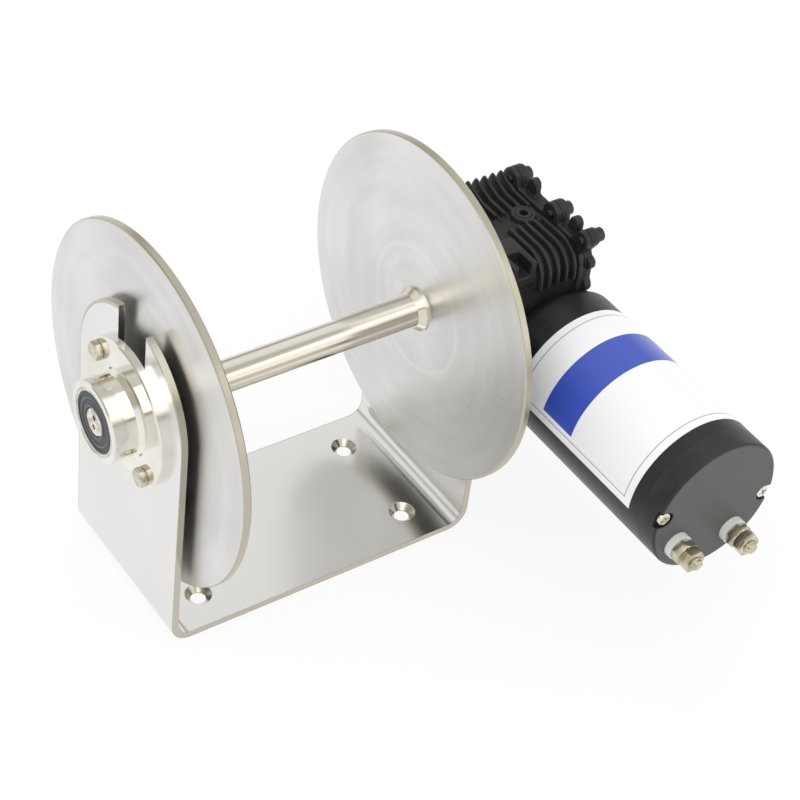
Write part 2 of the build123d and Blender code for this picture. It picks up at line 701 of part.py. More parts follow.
def gearbox_fins():
    """Cooling fins across the top: the front group wraps down the corner, the rear group rises at its end."""
    shape = gearbox_outline(FIN_HEIGHT)
    reach = GEARBOX_HALF_WIDTH + FIN_HEIGHT
    high = GEARBOX_TOP + FIN_HEIGHT
    low = GEARBOX_TOP - REAR_FIN_RISE
    last = GEARBOX_END - FIRST_FIN_FROM_FACE
    tip = Plane.YZ * make_face(Polyline(
        (REAR_FIN_RISE_START, low),
        (REAR_FIN_RISE_START, high),
        (reach - FIN_THICKNESS, high + REAR_FIN_RISE),
        (reach, high),
        (reach, low),
        close=True,
    ))
    fins = []
    for count, y_range, depth, outlines in (
        (REAR_FINS, (REAR_FIN_START, reach), REAR_FIN_DEPTH, (shape, tip)),
        (FRONT_FINS, (-reach, -FRONT_FIN_START), FRONT_FIN_DEPTH, (shape,)),
    ):
        region = block((GEARBOX_START, GEARBOX_END), y_range, (GEARBOX_TOP - depth, high + REAR_FIN_RISE))
        for k in range(count):
            centre = last - k * FIN_PITCH
            for outline in outlines:
                fins.append(slab(outline, centre - FIN_THICKNESS / 2, centre + FIN_THICKNESS / 2) & region)
    return fins


def lugs(start, end, lug_places=LUG_PLACES):
    """Round lugs along the outline, each with a web into the casting."""
    found = []
    y_limit = GEARBOX_HALF_WIDTH - GEARBOX_CORNER
    for y, height, radius in lug_places:
        z = AXIS_HEIGHT + height
        inner_y = max(-y_limit, min(y_limit, y))
        inner_z = max(GEARBOX_BOTTOM + GEARBOX_CORNER, min(GEARBOX_TOP - GEARBOX_CORNER, z))
        span = math.hypot(y - inner_y, z - inner_z)
        turn = math.degrees(math.atan2(z - inner_z, y - inner_y))
        web = Pos(inner_y, inner_z) * Rot(0, 0, turn) * Pos(span / 2, 0) * Rectangle(span, 2 * radius)
        found.append(rod_x(radius, start, end, y, z))
        found.append(slab(Plane.YZ * web, start, end))
    return found


def filler_place():
    """X of the filler boss."""
    return MOTOR_X + FILLER_BOSS_OFFSET


def gearbox_housing():
    """Die casting with wheel chamber, worm tube, neck flange, fins and lugs."""
    body = slab(gearbox_outline(), GEARBOX_START, GEARBOX_END)
    body += gearbox_fins()
    body += slab(gearbox_outline(RIM_WIDTH), RIM_START, GEARBOX_END)
    body += lugs(RIM_START, GEARBOX_END)
    body += rod_x(NECK_DIAMETER / 2, NECK_FACE, GEARBOX_START)
    body += rod_x(NECK_FLANGE_DIAMETER / 2, FAR_OUTER, NECK_FACE)
    pad_side = MOTOR_PAD_DIAMETER / 2
    pad_limit = block((MOTOR_X - pad_side, GEARBOX_END), (MOTOR_FACE, 0), (0, GEARBOX_TOP))
    body += rod_y(pad_side, MOTOR_FACE, -GEARBOX_HALF_WIDTH + MOTOR_PAD) & pad_limit
    top = GEARBOX_TOP + FIN_HEIGHT
    filler = Pos(filler_place(), FILLER_BOSS_Y, 0)
    body += filler * Pos(0, 0, GEARBOX_TOP) * Cylinder(FILLER_BOSS_DIAMETER / 2, 2 * FIN_HEIGHT)
    pad_x = (GEARBOX_START + PAD_FROM_BACK, GEARBOX_START + PAD_FROM_BACK + PAD_LENGTH)
    pad_y = (-PAD_START - PAD_WIDTH, -PAD_START)
    body += block(pad_x, pad_y, (GEARBOX_TOP - GEARBOX_CORNER, top))
    slot_x = (pad_x[0] + PAD_SLOT_INSET, pad_x[0] + PAD_SLOT_INSET + PAD_SLOT_WIDTH)
    slot_y = (pad_y[0], pad_y[0] + PAD_SLOT_LENGTH)
    body -= block(slot_x, slot_y, (top - PAD_SLOT_DEPTH, top))
    body -= rod_x(WHEEL_CHAMBER_DIAMETER / 2, WHEEL_HUB_START, GEARBOX_END)
    body -= rod_x(BEARING_OUTSIDE / 2, BACK_BEARING, WHEEL_HUB_START)
    body -= rod_x(NECK_SHOULDER_BORE / 2, SEAL_END, BACK_BEARING)
    body -= rod_x(OIL_SEAL_OUTSIDE / 2, FAR_OUTER, SEAL_END)
    body -= rod_y(WORM_TUBE_DIAMETER / 2, MOTOR_FACE, GEARBOX_HALF_WIDTH)
    body -= filler * Pos(0, 0, top - FILLER_DEPTH / 2) * Cylinder(FILLER_THREAD / 2, FILLER_DEPTH)
    for y, z in mount_screw_places():
        hole_end = FAR_INNER + MOUNT_SCREW_LENGTH + HOLE_END
        body -= rod_x(MOUNT_SCREW / 2 + RUNNING_CLEARANCE, FAR_OUTER, hole_end, y, z)
    for x, z in motor_screw_places():
        body -= rod_y(MOTOR_SCREW / 2 + RUNNING_CLEARANCE, MOTOR_FACE, MOTOR_FACE + MOTOR_SCREW_DEPTH, x, z)
    for y, height, _ in LUG_PLACES:
        body -= rod_x(COVER_SCREW / 2 + RUNNING_CLEARANCE, RIM_START, GEARBOX_END, y, AXIS_HEIGHT + height)
    return body


def gearbox_cover():
    """Stepped cover with a spigot that carries the front bearing."""
    spigot_start = FRONT_BEARING - SPIGOT_LIP
    spigot = WHEEL_CHAMBER_DIAMETER / 2 - SPIGOT_CLEARANCE
    seat_end = FRONT_BEARING + BEARING_WIDTH
    cover = slab(gearbox_outline(RIM_WIDTH), COVER_START, COVER_END)
    cover += lugs(COVER_START, COVER_END)
    cover += lugs(COVER_START, COVER_END, NUB_PLACES)
    cover += slab(gearbox_outline(-COVER_STEP), COVER_END, COVER_END + COVER_STEP_HEIGHT)
    cover += rod_x(COVER_BOSS_DIAMETER / 2, COVER_END, COVER_END + COVER_BOSS_HEIGHT)
    cover += rod_x(spigot, spigot_start, COVER_START)
    cover -= rod_x(BEARING_OUTSIDE / 2, spigot_start, seat_end)
    cover -= rod_x(NECK_SHOULDER_BORE / 2, seat_end, SHAFT_END + SHAFT_END_GAP)
    cover -= rod_y(WORM_TUBE_DIAMETER / 2, -GEARBOX_HALF_WIDTH, GEARBOX_HALF_WIDTH)
    for y, height, _ in LUG_PLACES:
        cover -= rod_x((COVER_SCREW + BOLT_CLEARANCE) / 2, COVER_START, COVER_END, y, AXIS_HEIGHT + height)
    return cover


def cover_gasket():
    """Flat gasket between casting and cover."""
    gasket = slab(gearbox_outline(RIM_WIDTH), GEARBOX_END, COVER_START)
    gasket += lugs(GEARBOX_END, COVER_START)
    gasket -= rod_x(WHEEL_CHAMBER_DIAMETER / 2, GEARBOX_END, COVER_START)
    for y, height, _ in LUG_PLACES:
        gasket -= rod_x(COVER_SCREW / 2 + BOLT_CLEARANCE, GEARBOX_END, COVER_START, y, AXIS_HEIGHT + height)
    return gasket


def cover_screws():
    """Round-headed screws through the cover, whose ends show past the casting's lugs."""
    screws = []
    for y, height, _ in LUG_PLACES:
        z = AXIS_HEIGHT + height
        head = rod_x(COVER_SCREW_HEAD / 2, COVER_END, COVER_END + COVER_SCREW_HEAD_HEIGHT, y, z)
        shank = rod_x(COVER_SCREW / 2, RIM_START - COVER_SCREW_END, COVER_END, y, z)
        screws.append(head + shank)
    return screws


def gearbox_mount_screws():
    """Countersunk screws from inside the far upright into the neck flange."""
    screws = []
    head = MOUNT_SCREW_HEAD / 2
    radius = MOUNT_SCREW / 2
    for y, z in mount_screw_places():
        screw = cone_x(FAR_INNER, head, FAR_INNER + head - radius, radius, y, z)
        screws.append(screw + rod_x(radius, FAR_INNER, FAR_INNER + MOUNT_SCREW_LENGTH, y, z))
    return screws


def output_seal():
    """Shaft seal in the casting's neck, open on its oil side."""
    outer = OIL_SEAL_OUTSIDE / 2 - PRESS_CLEARANCE
    return turned_on_drum([
        (SEAL_START, SHAFT_DIAMETER / 2 + RUNNING_CLEARANCE),
        (SEAL_START, outer),
        (SEAL_END, outer),
        (SEAL_END, outer - OIL_SEAL_WALL),
        (SEAL_START + OIL_SEAL_WEB, outer - OIL_SEAL_WALL),
        (SEAL_START + OIL_SEAL_WEB, SHAFT_DIAMETER / 2 + RUNNING_CLEARANCE),
    ])


def filler_plug():
    """Threaded plug with a hex socket, flush in its boss."""
    top = GEARBOX_TOP + FIN_HEIGHT
    x = filler_place()
    plug = Pos(x, FILLER_BOSS_Y, top - FILLER_DEPTH / 2) * Cylinder(FILLER_THREAD / 2 - PRESS_CLEARANCE, FILLER_DEPTH)
    socket = extrude(RegularPolygon(FILLER_SOCKET / 2, 6, major_radius=False), FILLER_DEPTH / 2)
    return plug - Pos(x, FILLER_BOSS_Y, top - FILLER_DEPTH / 2) * socket


def worm_end_plug():
    """Plug behind the rear worm bush."""
    length = GEARBOX_HALF_WIDTH - BUSH_OUTER_FACE
    plug = rod_y(WORM_TUBE_DIAMETER / 2 - PRESS_CLEARANCE, BUSH_OUTER_FACE, GEARBOX_HALF_WIDTH)
    socket = extrude(RegularPolygon(END_PLUG_SOCKET / 2, 6, major_radius=False), length - END_PLUG_FLOOR)
    return plug - Pos(MOTOR_X, GEARBOX_HALF_WIDTH, MOTOR_Z) * Rot(90, 0, 0) * socket


def ring_y(outer, inner, start, end):
    """Plain ring on the motor axis."""
    return turned_on_motor([(start, inner), (start, outer), (end, outer), (end, inner)])


def worm_bushes():
    """Bronze bushes on both sides of the worm."""
    outer = WORM_TUBE_DIAMETER / 2 - PRESS_CLEARANCE
    inner = WORM_SHAFT_DIAMETER / 2 + RUNNING_CLEARANCE
    return [
        ring_y(outer, inner, BUSH_INNER_FACE, BUSH_OUTER_FACE - RUNNING_CLEARANCE),
        ring_y(outer, inner, -BUSH_OUTER_FACE, -BUSH_INNER_FACE),
    ]


def worm_seal():
    """Seal between the gearbox oil and the motor."""
    outer = WORM_TUBE_DIAMETER / 2 - PRESS_CLEARANCE
    inner = WORM_SHAFT_DIAMETER / 2 + RUNNING_CLEARANCE
    return ring_y(outer, inner, -BUSH_OUTER_FACE - WORM_SEAL_LENGTH, -BUSH_OUTER_FACE)


def motor_screw_places():
    """Four screws hold the motor's front bell to the gearbox."""
    return [round_the_motor(MOTOR_SCREW_CIRCLE / 2, angle) for angle in MOTOR_SCREW_ANGLES]


def through_bolt_places():
    """Two long bolts tie the end cap to the front bell."""
    radius = MOTOR_DIAMETER / 2 - THROUGH_BOLT_INSET
    return [round_the_motor(radius, THROUGH_BOLT_ANGLE + turn) for turn in (0, 180)]


def motor_front_bell():
    """Cast bell with a rounded shoulder, bolted to the gearbox."""
    radius = MOTOR_DIAMETER / 2
    bell = rod_y(radius, MOTOR_FACE, BELL_SEAM)
    shoulder = bell.edges().filter_by(GeomType.CIRCLE).sort_by(Axis.Y)[-1]
    bell = fillet(shoulder, BELL_ROUND)
    bell -= rod_y(radius - BELL_RIM, MOTOR_FACE - BELL_WALL, BELL_SEAM)
    bell -= rod_y(WORM_SHAFT_DIAMETER / 2 + BOLT_CLEARANCE, MOTOR_FACE, MOTOR_FACE - BELL_WALL)
    for x, z in motor_screw_places():
        bell -= rod_y((MOTOR_SCREW + BOLT_CLEARANCE) / 2, MOTOR_FACE, MOTOR_FACE - BELL_WALL, x, z)
    for x, z in through_bolt_places():
        hole_end = BELL_SEAM + THROUGH_BOLT_GRIP + HOLE_END
        bell -= rod_y(THROUGH_BOLT / 2 + RUNNING_CLEARANCE, BELL_SEAM, hole_end, x, z)
    return bell


def motor_screws():
    """Screws from inside the bell into the gearbox."""
    screws = []
    inside = MOTOR_FACE - BELL_WALL
    for x, z in motor_screw_places():
        shank = rod_y(MOTOR_SCREW / 2, inside, MOTOR_FACE + MOTOR_SCREW_DEPTH - HOLE_END, x, z)
        head = rod_y(MOTOR_SCREW_HEAD / 2, inside - MOTOR_SCREW_HEAD_HEIGHT, inside, x, z)
        screws.append(shank + head)
    return screws


def motor_can():
    """Steel tube of the motor."""
    return ring_y(MOTOR_DIAMETER / 2, CAN_BORE, CAN_END, BELL_SEAM)


def motor_magnets():
    """Two curved magnets bonded inside the can, clear of the through bolts."""
    middle = (CORE_NEAR + CORE_FAR) / 2
    magnets = []
    profile_width = CAN_BORE - BOND_GAP - MAGNET_INNER_DIAMETER / 2
    radius = MAGNET_INNER_DIAMETER / 2 + profile_width / 2
    length = CORE_NEAR - CORE_FAR + 2 * MAGNET_OVERHANG
    section = Plane.XY * Pos(radius, 0) * Rectangle(profile_width, length)
    for turn in (90, 270):
        arc = revolve(section, Axis.Y, MAGNET_ARC)
        start = THROUGH_BOLT_ANGLE + turn + MAGNET_ARC / 2
        magnets.append(Pos(MOTOR_X, middle, MOTOR_Z) * Rot(0, -start, 0) * arc)
    return magnets


def end_cap():
    """Cast end cap with a bush boss, two bolt notches and two terminal holes."""
    radius = MOTOR_DIAMETER / 2
    cap = rod_y(radius, CAN_END, CAP_FACE)
    rim = cap.edges().filter_by(GeomType.CIRCLE).sort_by(Axis.Y)[0]
    cap = chamfer(rim, END_CAP_BEVEL)
    cap -= rod_y(radius - END_CAP_RIM, CAN_END, CAP_RECESS_FLOOR)
    cap += rod_y(END_BOSS_DIAMETER / 2, END_BOSS_FACE, CAP_RECESS_FLOOR)
    cap -= rod_y(END_BUSH_OUTSIDE / 2, END_BOSS_FACE, END_BUSH_END)
    notch_floor = CAP_FACE + THROUGH_BOLT_NOTCH_DEPTH
    for turn, (x, z) in zip((0, 180), through_bolt_places()):
        cap -= rod_y(THROUGH_BOLT / 2 + BOLT_CLEARANCE / 2, CAN_END, notch_floor, x, z)
        cap -= rod_y(THROUGH_BOLT_NOTCH / 2, notch_floor, CAP_FACE, x, z)
        mouth = Box(THROUGH_BOLT_NOTCH, THROUGH_BOLT_NOTCH_DEPTH, THROUGH_BOLT_NOTCH)
        mouth = Pos(THROUGH_BOLT_NOTCH / 2, CAP_FACE + THROUGH_BOLT_NOTCH_DEPTH / 2, 0) * mouth
        cap -= Pos(x, 0, z) * Rot(0, -THROUGH_BOLT_ANGLE - turn, 0) * mouth
    for x, z in terminal_places():
        cap -= rod_y(INSULATOR_SLEEVE / 2 + RUNNING_CLEARANCE, CAP_RECESS_FLOOR, CAP_FACE, x, z)
    return cap


def end_bush():
    """Bronze bush for the armature's tail."""
    outer = END_BUSH_OUTSIDE / 2 - PRESS_CLEARANCE
    inner = WORM_SHAFT_DIAMETER / 2 + RUNNING_CLEARANCE
    return ring_y(outer, inner, END_BUSH_END, END_BOSS_FACE)


def through_bolts():
    """Long bolts with round heads in the end cap's notches."""
    bolts = []
    seat = CAP_FACE + THROUGH_BOLT_NOTCH_DEPTH
    for x, z in through_bolt_places():
        shank = rod_y(THROUGH_BOLT / 2, seat, BELL_SEAM + THROUGH_BOLT_GRIP, x, z)
        head = rod_y(THROUGH_BOLT_HEAD / 2, seat - THROUGH_BOLT_HEAD_HEIGHT, seat, x, z)
        bolts.append(shank + head)
    return bolts


def terminal_places():
    """Two power studs low on the end face."""
    return [round_the_motor(TERMINAL_CIRCLE / 2, angle) for angle in TERMINAL_ANGLES]


def terminal_studs():
    """Power studs with a round head inside the cap."""
    studs = []
    for x, z in terminal_places():
        head = rod_y(STUD_HEAD / 2, CAP_RECESS_FLOOR + STUD_HEAD_HEIGHT, CAP_RECESS_FLOOR, x, z)
        stem = rod_y(TERMINAL_STUD / 2, CAP_RECESS_FLOOR, CAP_FACE - TERMINAL_LENGTH, x, z)
        tip = stem.edges().filter_by(GeomType.CIRCLE).sort_by(Axis.Y)[0]
        studs.append(head + chamfer(tip, EDGE_BREAK))
    return studs


def terminal_insulators():
    """Insulating flanged sleeves round the studs."""
    insulators = []
    bore = TERMINAL_STUD / 2 + RUNNING_CLEARANCE
    for x, z in terminal_places():
        sleeve = rod_y(INSULATOR_SLEEVE / 2, CAP_RECESS_FLOOR, CAP_FACE, x, z)
        washer = rod_y(INSULATOR_DIAMETER / 2, CAP_FACE, CAP_FACE - INSULATOR_THICKNESS, x, z)
        hole = rod_y(bore, CAP_RECESS_FLOOR, CAP_FACE - INSULATOR_THICKNESS, x, z)
        insulators.append(sleeve + washer - hole)
    return insulators


def terminal_nuts():
    """Two nuts on each stud."""
    nuts = []
    bore = TERMINAL_STUD / 2 + RUNNING_CLEARANCE
    for x, z in terminal_places():
        for k in range(2):
            start = CAP_FACE - INSULATOR_THICKNESS - k * TERMINAL_NUT
            turn = Rot(90, 0, 0) * Rot(0, 0, TERMINAL_NUT_TURNS[k])
            nut = turn * hex_prism(TERMINAL_NUT_ACROSS_FLATS, TERMINAL_NUT)
            nuts.append(Pos(x, start, z) * nut - rod_y(bore, start, start - TERMINAL_NUT, x, z))
    return nuts


def along_motor_ray(angle):
    """Placement whose X axis points outwards from the motor axis at an angle."""
    return Pos(MOTOR_X, BRUSH_MIDDLE, MOTOR_Z) * Rot(0, -angle, 0)


def brush_angles():
    """Two brushes face each other across the commutator."""
    return (BRUSH_ANGLE, BRUSH_ANGLE + 180)


def brush_plate():
    """Moulded plate with a guide box for each brush."""
    plate = rod_y(CAN_BORE - BRUSH_PLATE_INSET, CAN_END, CAN_END + BRUSH_PLATE)
    plate -= rod_y(BRUSH_PLATE_BORE / 2, CAN_END, CAN_END + BRUSH_PLATE)
    for x, z in through_bolt_places():
        plate -= rod_y(THROUGH_BOLT / 2 + BOLT_CLEARANCE, CAN_END, CAN_END + BRUSH_PLATE, x, z)
    plate_top = CAN_END + BRUSH_PLATE - BRUSH_MIDDLE
    box_top = BRUSH_THICKNESS / 2 + BRUSH_GAP + BRUSH_BOX_WALL
    inner = COMMUTATOR_DIAMETER / 2 + BRUSH_BOX_START
    half = BRUSH_WIDTH / 2 + BRUSH_GAP
    for angle in brush_angles():
        guide = block((inner, BRUSH_BOX_REACH), (plate_top, box_top), (-half - BRUSH_BOX_WALL, half + BRUSH_BOX_WALL))
        pocket_end = BRUSH_BOX_REACH - BRUSH_BOX_WALL
        floor = BRUSH_THICKNESS / 2 + BRUSH_GAP
        guide -= block((inner, pocket_end), (-floor, floor), (-half, half))
        plate += along_motor_ray(angle) * guide
    return plate


def brushes():
    """Carbon brushes, each held 0.3 mm off the turning commutator."""
    inner = COMMUTATOR_DIAMETER / 2 + BRUSH_GAP
    brush = block(
        (inner, inner + BRUSH_LENGTH),
        (-BRUSH_THICKNESS / 2, BRUSH_THICKNESS / 2),
        (-BRUSH_WIDTH / 2, BRUSH_WIDTH / 2),
    )
    return [along_motor_ray(angle) * brush for angle in brush_angles()]


def brush_springs():
    """Bowed strips that press the brushes inwards."""
    start = COMMUTATOR_DIAMETER / 2 + BRUSH_GAP + BRUSH_LENGTH
    end = BRUSH_BOX_REACH - BRUSH_BOX_WALL
    rise = end - start
    half = BRUSH_WIDTH / 2
    outer = ThreePointArc((start + SPRING_STRIP, -half), (end, 0), (start + SPRING_STRIP, half))
    inner = ThreePointArc((start, half), (start + rise - SPRING_STRIP, 0), (start, -half))
    feet = (Line(outer @ 1, inner @ 0), Line(inner @ 1, outer @ 0))
    strip = make_face(Curve() + [outer, feet[0], inner, feet[1]])
    spring = Rot(90, 0, 0) * extrude(strip, BRUSH_THICKNESS / 2 - BRUSH_GAP, both=True)
    return [along_motor_ray(angle) * spring for angle in brush_angles()]


def armature_core():
    """Slotted lamination stack."""
    section = Circle(CORE_DIAMETER / 2) - Circle(WORM_SHAFT_DIAMETER / 2 + PRESS_CLEARANCE)
    depth = CORE_DIAMETER / 2 - CORE_SLOT_ROOT
    for k in range(CORE_SLOTS):
        slot = Pos(CORE_SLOT_ROOT + depth / 2 + 0.5, 0) * Rectangle(depth + 1, CORE_SLOT_WIDTH)
        section -= Rot(0, 0, 360 * k / CORE_SLOTS) * slot
    return Pos(MOTOR_X, CORE_NEAR, MOTOR_Z) * Rot(90, 0, 0) * extrude(section, CORE_NEAR - CORE_FAR)


def armature_windings():
    """Coils in the slots with an end bundle on each side."""
    coils = ring_y(COIL_OUTER, COIL_INNER, CORE_NEAR, CORE_NEAR + COIL_END)
    coils += ring_y(COIL_OUTER, COIL_INNER, CORE_FAR, CORE_FAR - COIL_END)
    low = CORE_SLOT_ROOT + COIL_CLEARANCE
    half = CORE_SLOT_WIDTH / 2 - COIL_CLEARANCE
    bar = block((low, COIL_OUTER), (CORE_FAR, CORE_NEAR), (-half, half))
    for k in range(CORE_SLOTS):
        coils += Pos(MOTOR_X, 0, MOTOR_Z) * Rot(0, 360 * k / CORE_SLOTS, 0) * bar
    return coils


def commutator():
    """Copper commutator with cuts between its segments."""
    radius = COMMUTATOR_DIAMETER / 2
    section = Circle(radius) - Circle(WORM_SHAFT_DIAMETER / 2 + PRESS_CLEARANCE)
    for k in range(CORE_SLOTS):
        cut = Pos(radius, 0) * Rectangle(2 * COMMUTATOR_CUT, COMMUTATOR_CUT)
        section -= Rot(0, 0, 360 * (k + 0.5) / CORE_SLOTS) * cut
    return Pos(MOTOR_X, COMMUTATOR_NEAR, MOTOR_Z) * Rot(90, 0, 0) * extrude(section, COMMUTATOR_LENGTH)


def motor_label():
    """Thin wrap over the upper half of the can."""
    inner = MOTOR_DIAMETER / 2 + PRESS_CLEARANCE
    section = Pos(inner + LABEL_THICKNESS / 2, -LABEL_LENGTH / 2) * Rectangle(LABEL_THICKNESS, LABEL_LENGTH)
    wrap = revolve(section, Axis.Y, LABEL_END_ANGLE - LABEL_START_ANGLE)
    return Pos(MOTOR_X, BELL_SEAM - LABEL_FROM_SEAM, MOTOR_Z) * Rot(0, -LABEL_END_ANGLE, 0) * wrap


NODES = {
    "base_bracket": base_bracket(),
    "bearing_housing": bearing_housing(),
    "housing_bolts": housing_bolts(),
    "bearing_outer_rings": bearing_outer_rings(),
    "bearing_inner_rings": bearing_inner_rings(),
    "bearing_rollers": bearing_rollers(),
    "bearing_seals": bearing_seals(),
    "drum_shaft": drum_shaft(),
    "drum_disc_near": drum_disc(NEAR_DISC),
    "drum_disc_far": drum_disc(FAR_DISC),
    "hub_collars": hub_collars(),
    "wheel_key": wheel_key(),
    "worm_wheel": worm_wheel(),
    "shaft_circlip": shaft_circlip(),
    "gearbox_housing": gearbox_housing(),
    "gearbox_cover": gearbox_cover(),
    "cover_gasket": cover_gasket(),
    "cover_screws": cover_screws(),
    "gearbox_mount_screws": gearbox_mount_screws(),
    "output_seal": output_seal(),
    "filler_plug": filler_plug(),
    "worm_end_plug": worm_end_plug(),
    "worm_bushes": worm_bushes(),
    "worm_seal": worm_seal(),
    "worm_shaft": worm_shaft(),
    "armature_core": armature_core(),
    "armature_windings": armature_windings(),
    "commutator": commutator(),
    "motor_front_bell": motor_front_bell(),
    "motor_screws": motor_screws(),
    "motor_can": motor_can(),
    "motor_magnets": motor_magnets(),
    "motor_end_cap": end_cap(),
    "end_bush": end_bush(),
    "brush_plate": brush_plate(),
    "brushes": brushes(),
    "brush_springs": brush_springs(),
    "through_bolts": through_bolts(),
    "terminal_studs": terminal_studs(),
    "terminal_insulators": terminal_insulators(),
    "terminal_nuts": terminal_nuts(),
    "motor_label": motor_label(),
}

for name, shape in NODES.items():
    solids = shape if isinstance(shape, list) else [shape]
    pieces = [solid for item in solids for solid in item.solids()]
    whole = pieces[0] if len(pieces) == 1 else Compound(pieces)
    export_step(whole, f"parts/{name}.step")
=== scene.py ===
"""Looks of the anchor windlass: finishes, fine pieces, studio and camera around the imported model."""

import json
import logging
import math
from dataclasses import dataclass
from enum import Enum
from typing import Any, Callable, Iterable, Optional, Sequence

import bpy
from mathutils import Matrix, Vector

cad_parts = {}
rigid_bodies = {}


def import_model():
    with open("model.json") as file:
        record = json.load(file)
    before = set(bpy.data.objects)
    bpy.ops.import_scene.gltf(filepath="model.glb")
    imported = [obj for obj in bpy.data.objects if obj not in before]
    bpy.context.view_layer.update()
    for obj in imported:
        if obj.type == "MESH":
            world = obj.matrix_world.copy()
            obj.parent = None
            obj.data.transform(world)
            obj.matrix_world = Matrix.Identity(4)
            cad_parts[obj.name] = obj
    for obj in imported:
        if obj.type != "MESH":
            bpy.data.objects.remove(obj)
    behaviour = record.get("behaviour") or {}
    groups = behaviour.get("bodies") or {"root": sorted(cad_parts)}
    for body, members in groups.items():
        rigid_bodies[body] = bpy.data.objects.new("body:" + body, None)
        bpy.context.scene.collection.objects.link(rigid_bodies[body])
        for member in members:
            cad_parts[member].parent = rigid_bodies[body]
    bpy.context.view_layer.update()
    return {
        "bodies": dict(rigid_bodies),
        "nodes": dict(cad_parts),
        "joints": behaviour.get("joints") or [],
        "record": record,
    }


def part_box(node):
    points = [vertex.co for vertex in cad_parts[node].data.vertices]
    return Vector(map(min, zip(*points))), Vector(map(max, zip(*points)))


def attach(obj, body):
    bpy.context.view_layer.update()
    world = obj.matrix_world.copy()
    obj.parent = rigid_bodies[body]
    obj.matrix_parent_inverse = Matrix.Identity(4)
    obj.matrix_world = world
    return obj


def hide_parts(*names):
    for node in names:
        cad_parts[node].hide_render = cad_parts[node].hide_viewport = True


LOG = logging.getLogger("windlass")

MM = 0.001
FINE_PIECE_BODY = "frame"

Colour = tuple[float, float, float]
Point = tuple[float, float, float]
GROUND_STEEL: Colour = (0.62, 0.63, 0.64)
BRONZE: Colour = (0.62, 0.42, 0.2)
Piece = bpy.types.Object
Material = bpy.types.Material


class Facing(Enum):
    """Ways that a fastener's head can point, as turns in degrees from straight up."""

    NEAR = (0.0, -90.0, 0.0)
    FAR = (0.0, 90.0, 0.0)
    MOTOR_END = (90.0, 0.0, 0.0)


class Wire:
    """One output socket of a shader node, with arithmetic that adds Math nodes."""

    def __init__(self, maker: "NodeMaker", socket: bpy.types.NodeSocket) -> None:
        """Keep the node maker and the socket.

        Args:
            maker: The maker whose node tree holds the socket.
            socket: The output socket that this wire stands for.
        """
        self.maker = maker
        self.socket = socket

    def _math(self, operation: str, *values: Any) -> "Wire":
        """Add one Math node.

        Args:
            operation: Name of the Math operation.
            values: Numbers or wires for its inputs.

        Returns:
            The node's result.
        """
        return self.maker.node("ShaderNodeMath", {"operation": operation}, dict(enumerate(values)))

    def __add__(self, other: Any) -> "Wire":
        """Sum."""
        return self._math("ADD", self, other)

    __radd__ = __add__

    def __sub__(self, other: Any) -> "Wire":
        """Difference."""
        return self._math("SUBTRACT", self, other)

    def __rsub__(self, other: Any) -> "Wire":
        """Difference with this wire on the right."""
        return self._math("SUBTRACT", other, self)

    def __mul__(self, other: Any) -> "Wire":
        """Product."""
        return self._math("MULTIPLY", self, other)

    __rmul__ = __mul__

    def __truediv__(self, other: Any) -> "Wire":
        """Quotient."""
        return self._math("DIVIDE", self, other)

    def near(self, middle: Any, reach: float) -> "Wire":
        """One within a reach of a value, fading smoothly to zero at its edge.

        Args:
            middle: Value at the centre.
            reach: Distance at which the result is zero.

        Returns:
            The mask.
        """
        return (self - middle).absolute().ramp(0.0, reach, 1.0, 0.0)

    def absolute(self) -> "Wire":
        """Size without sign."""
        return self._math("ABSOLUTE", self)

    def most(self, other: Any) -> "Wire":
        """The larger of two values."""
        return self._math("MAXIMUM", self, other)

    def root(self) -> "Wire":
        """Square root."""
        return self._math("SQRT", self)

    def above(self, limit: Any) -> "Wire":
        """One where this is more than the limit, else zero."""
        return self._math("GREATER_THAN", self, limit)

    def least(self, other: Any) -> "Wire":
        """The smaller of two values."""
        return self._math("MINIMUM", self, other)

    def below(self, limit: Any) -> "Wire":
        """One where this is less than the limit, else zero."""
        return self._math("LESS_THAN", self, limit)

    def angle_to(self, other: Any) -> "Wire":
        """Angle of the point (other, this), in radians."""
        return self._math("ARCTAN2", self, other)

    def ramp(self, low: float, high: float, to_low: float = 0.0, to_high: float = 1.0) -> "Wire":
        """Map a range smoothly on another.

        Args:
            low: Value that gives to_low.
            high: Value that gives to_high.
            to_low: Result at and below low.
            to_high: Result at and above high.

        Returns:
            The mapped value.
        """
        settings = {"interpolation_type": "SMOOTHSTEP"}
        inputs = {"Value": self, "From Min": low, "From Max": high, "To Min": to_low, "To Max": to_high}
        return self.maker.node("ShaderNodeMapRange", settings, inputs)


def opaque(colour: Any) -> Any:
    """Give a plain colour full alpha, and leave a wire as it is."""
    return colour if isinstance(colour, Wire) else (*colour, 1.0)


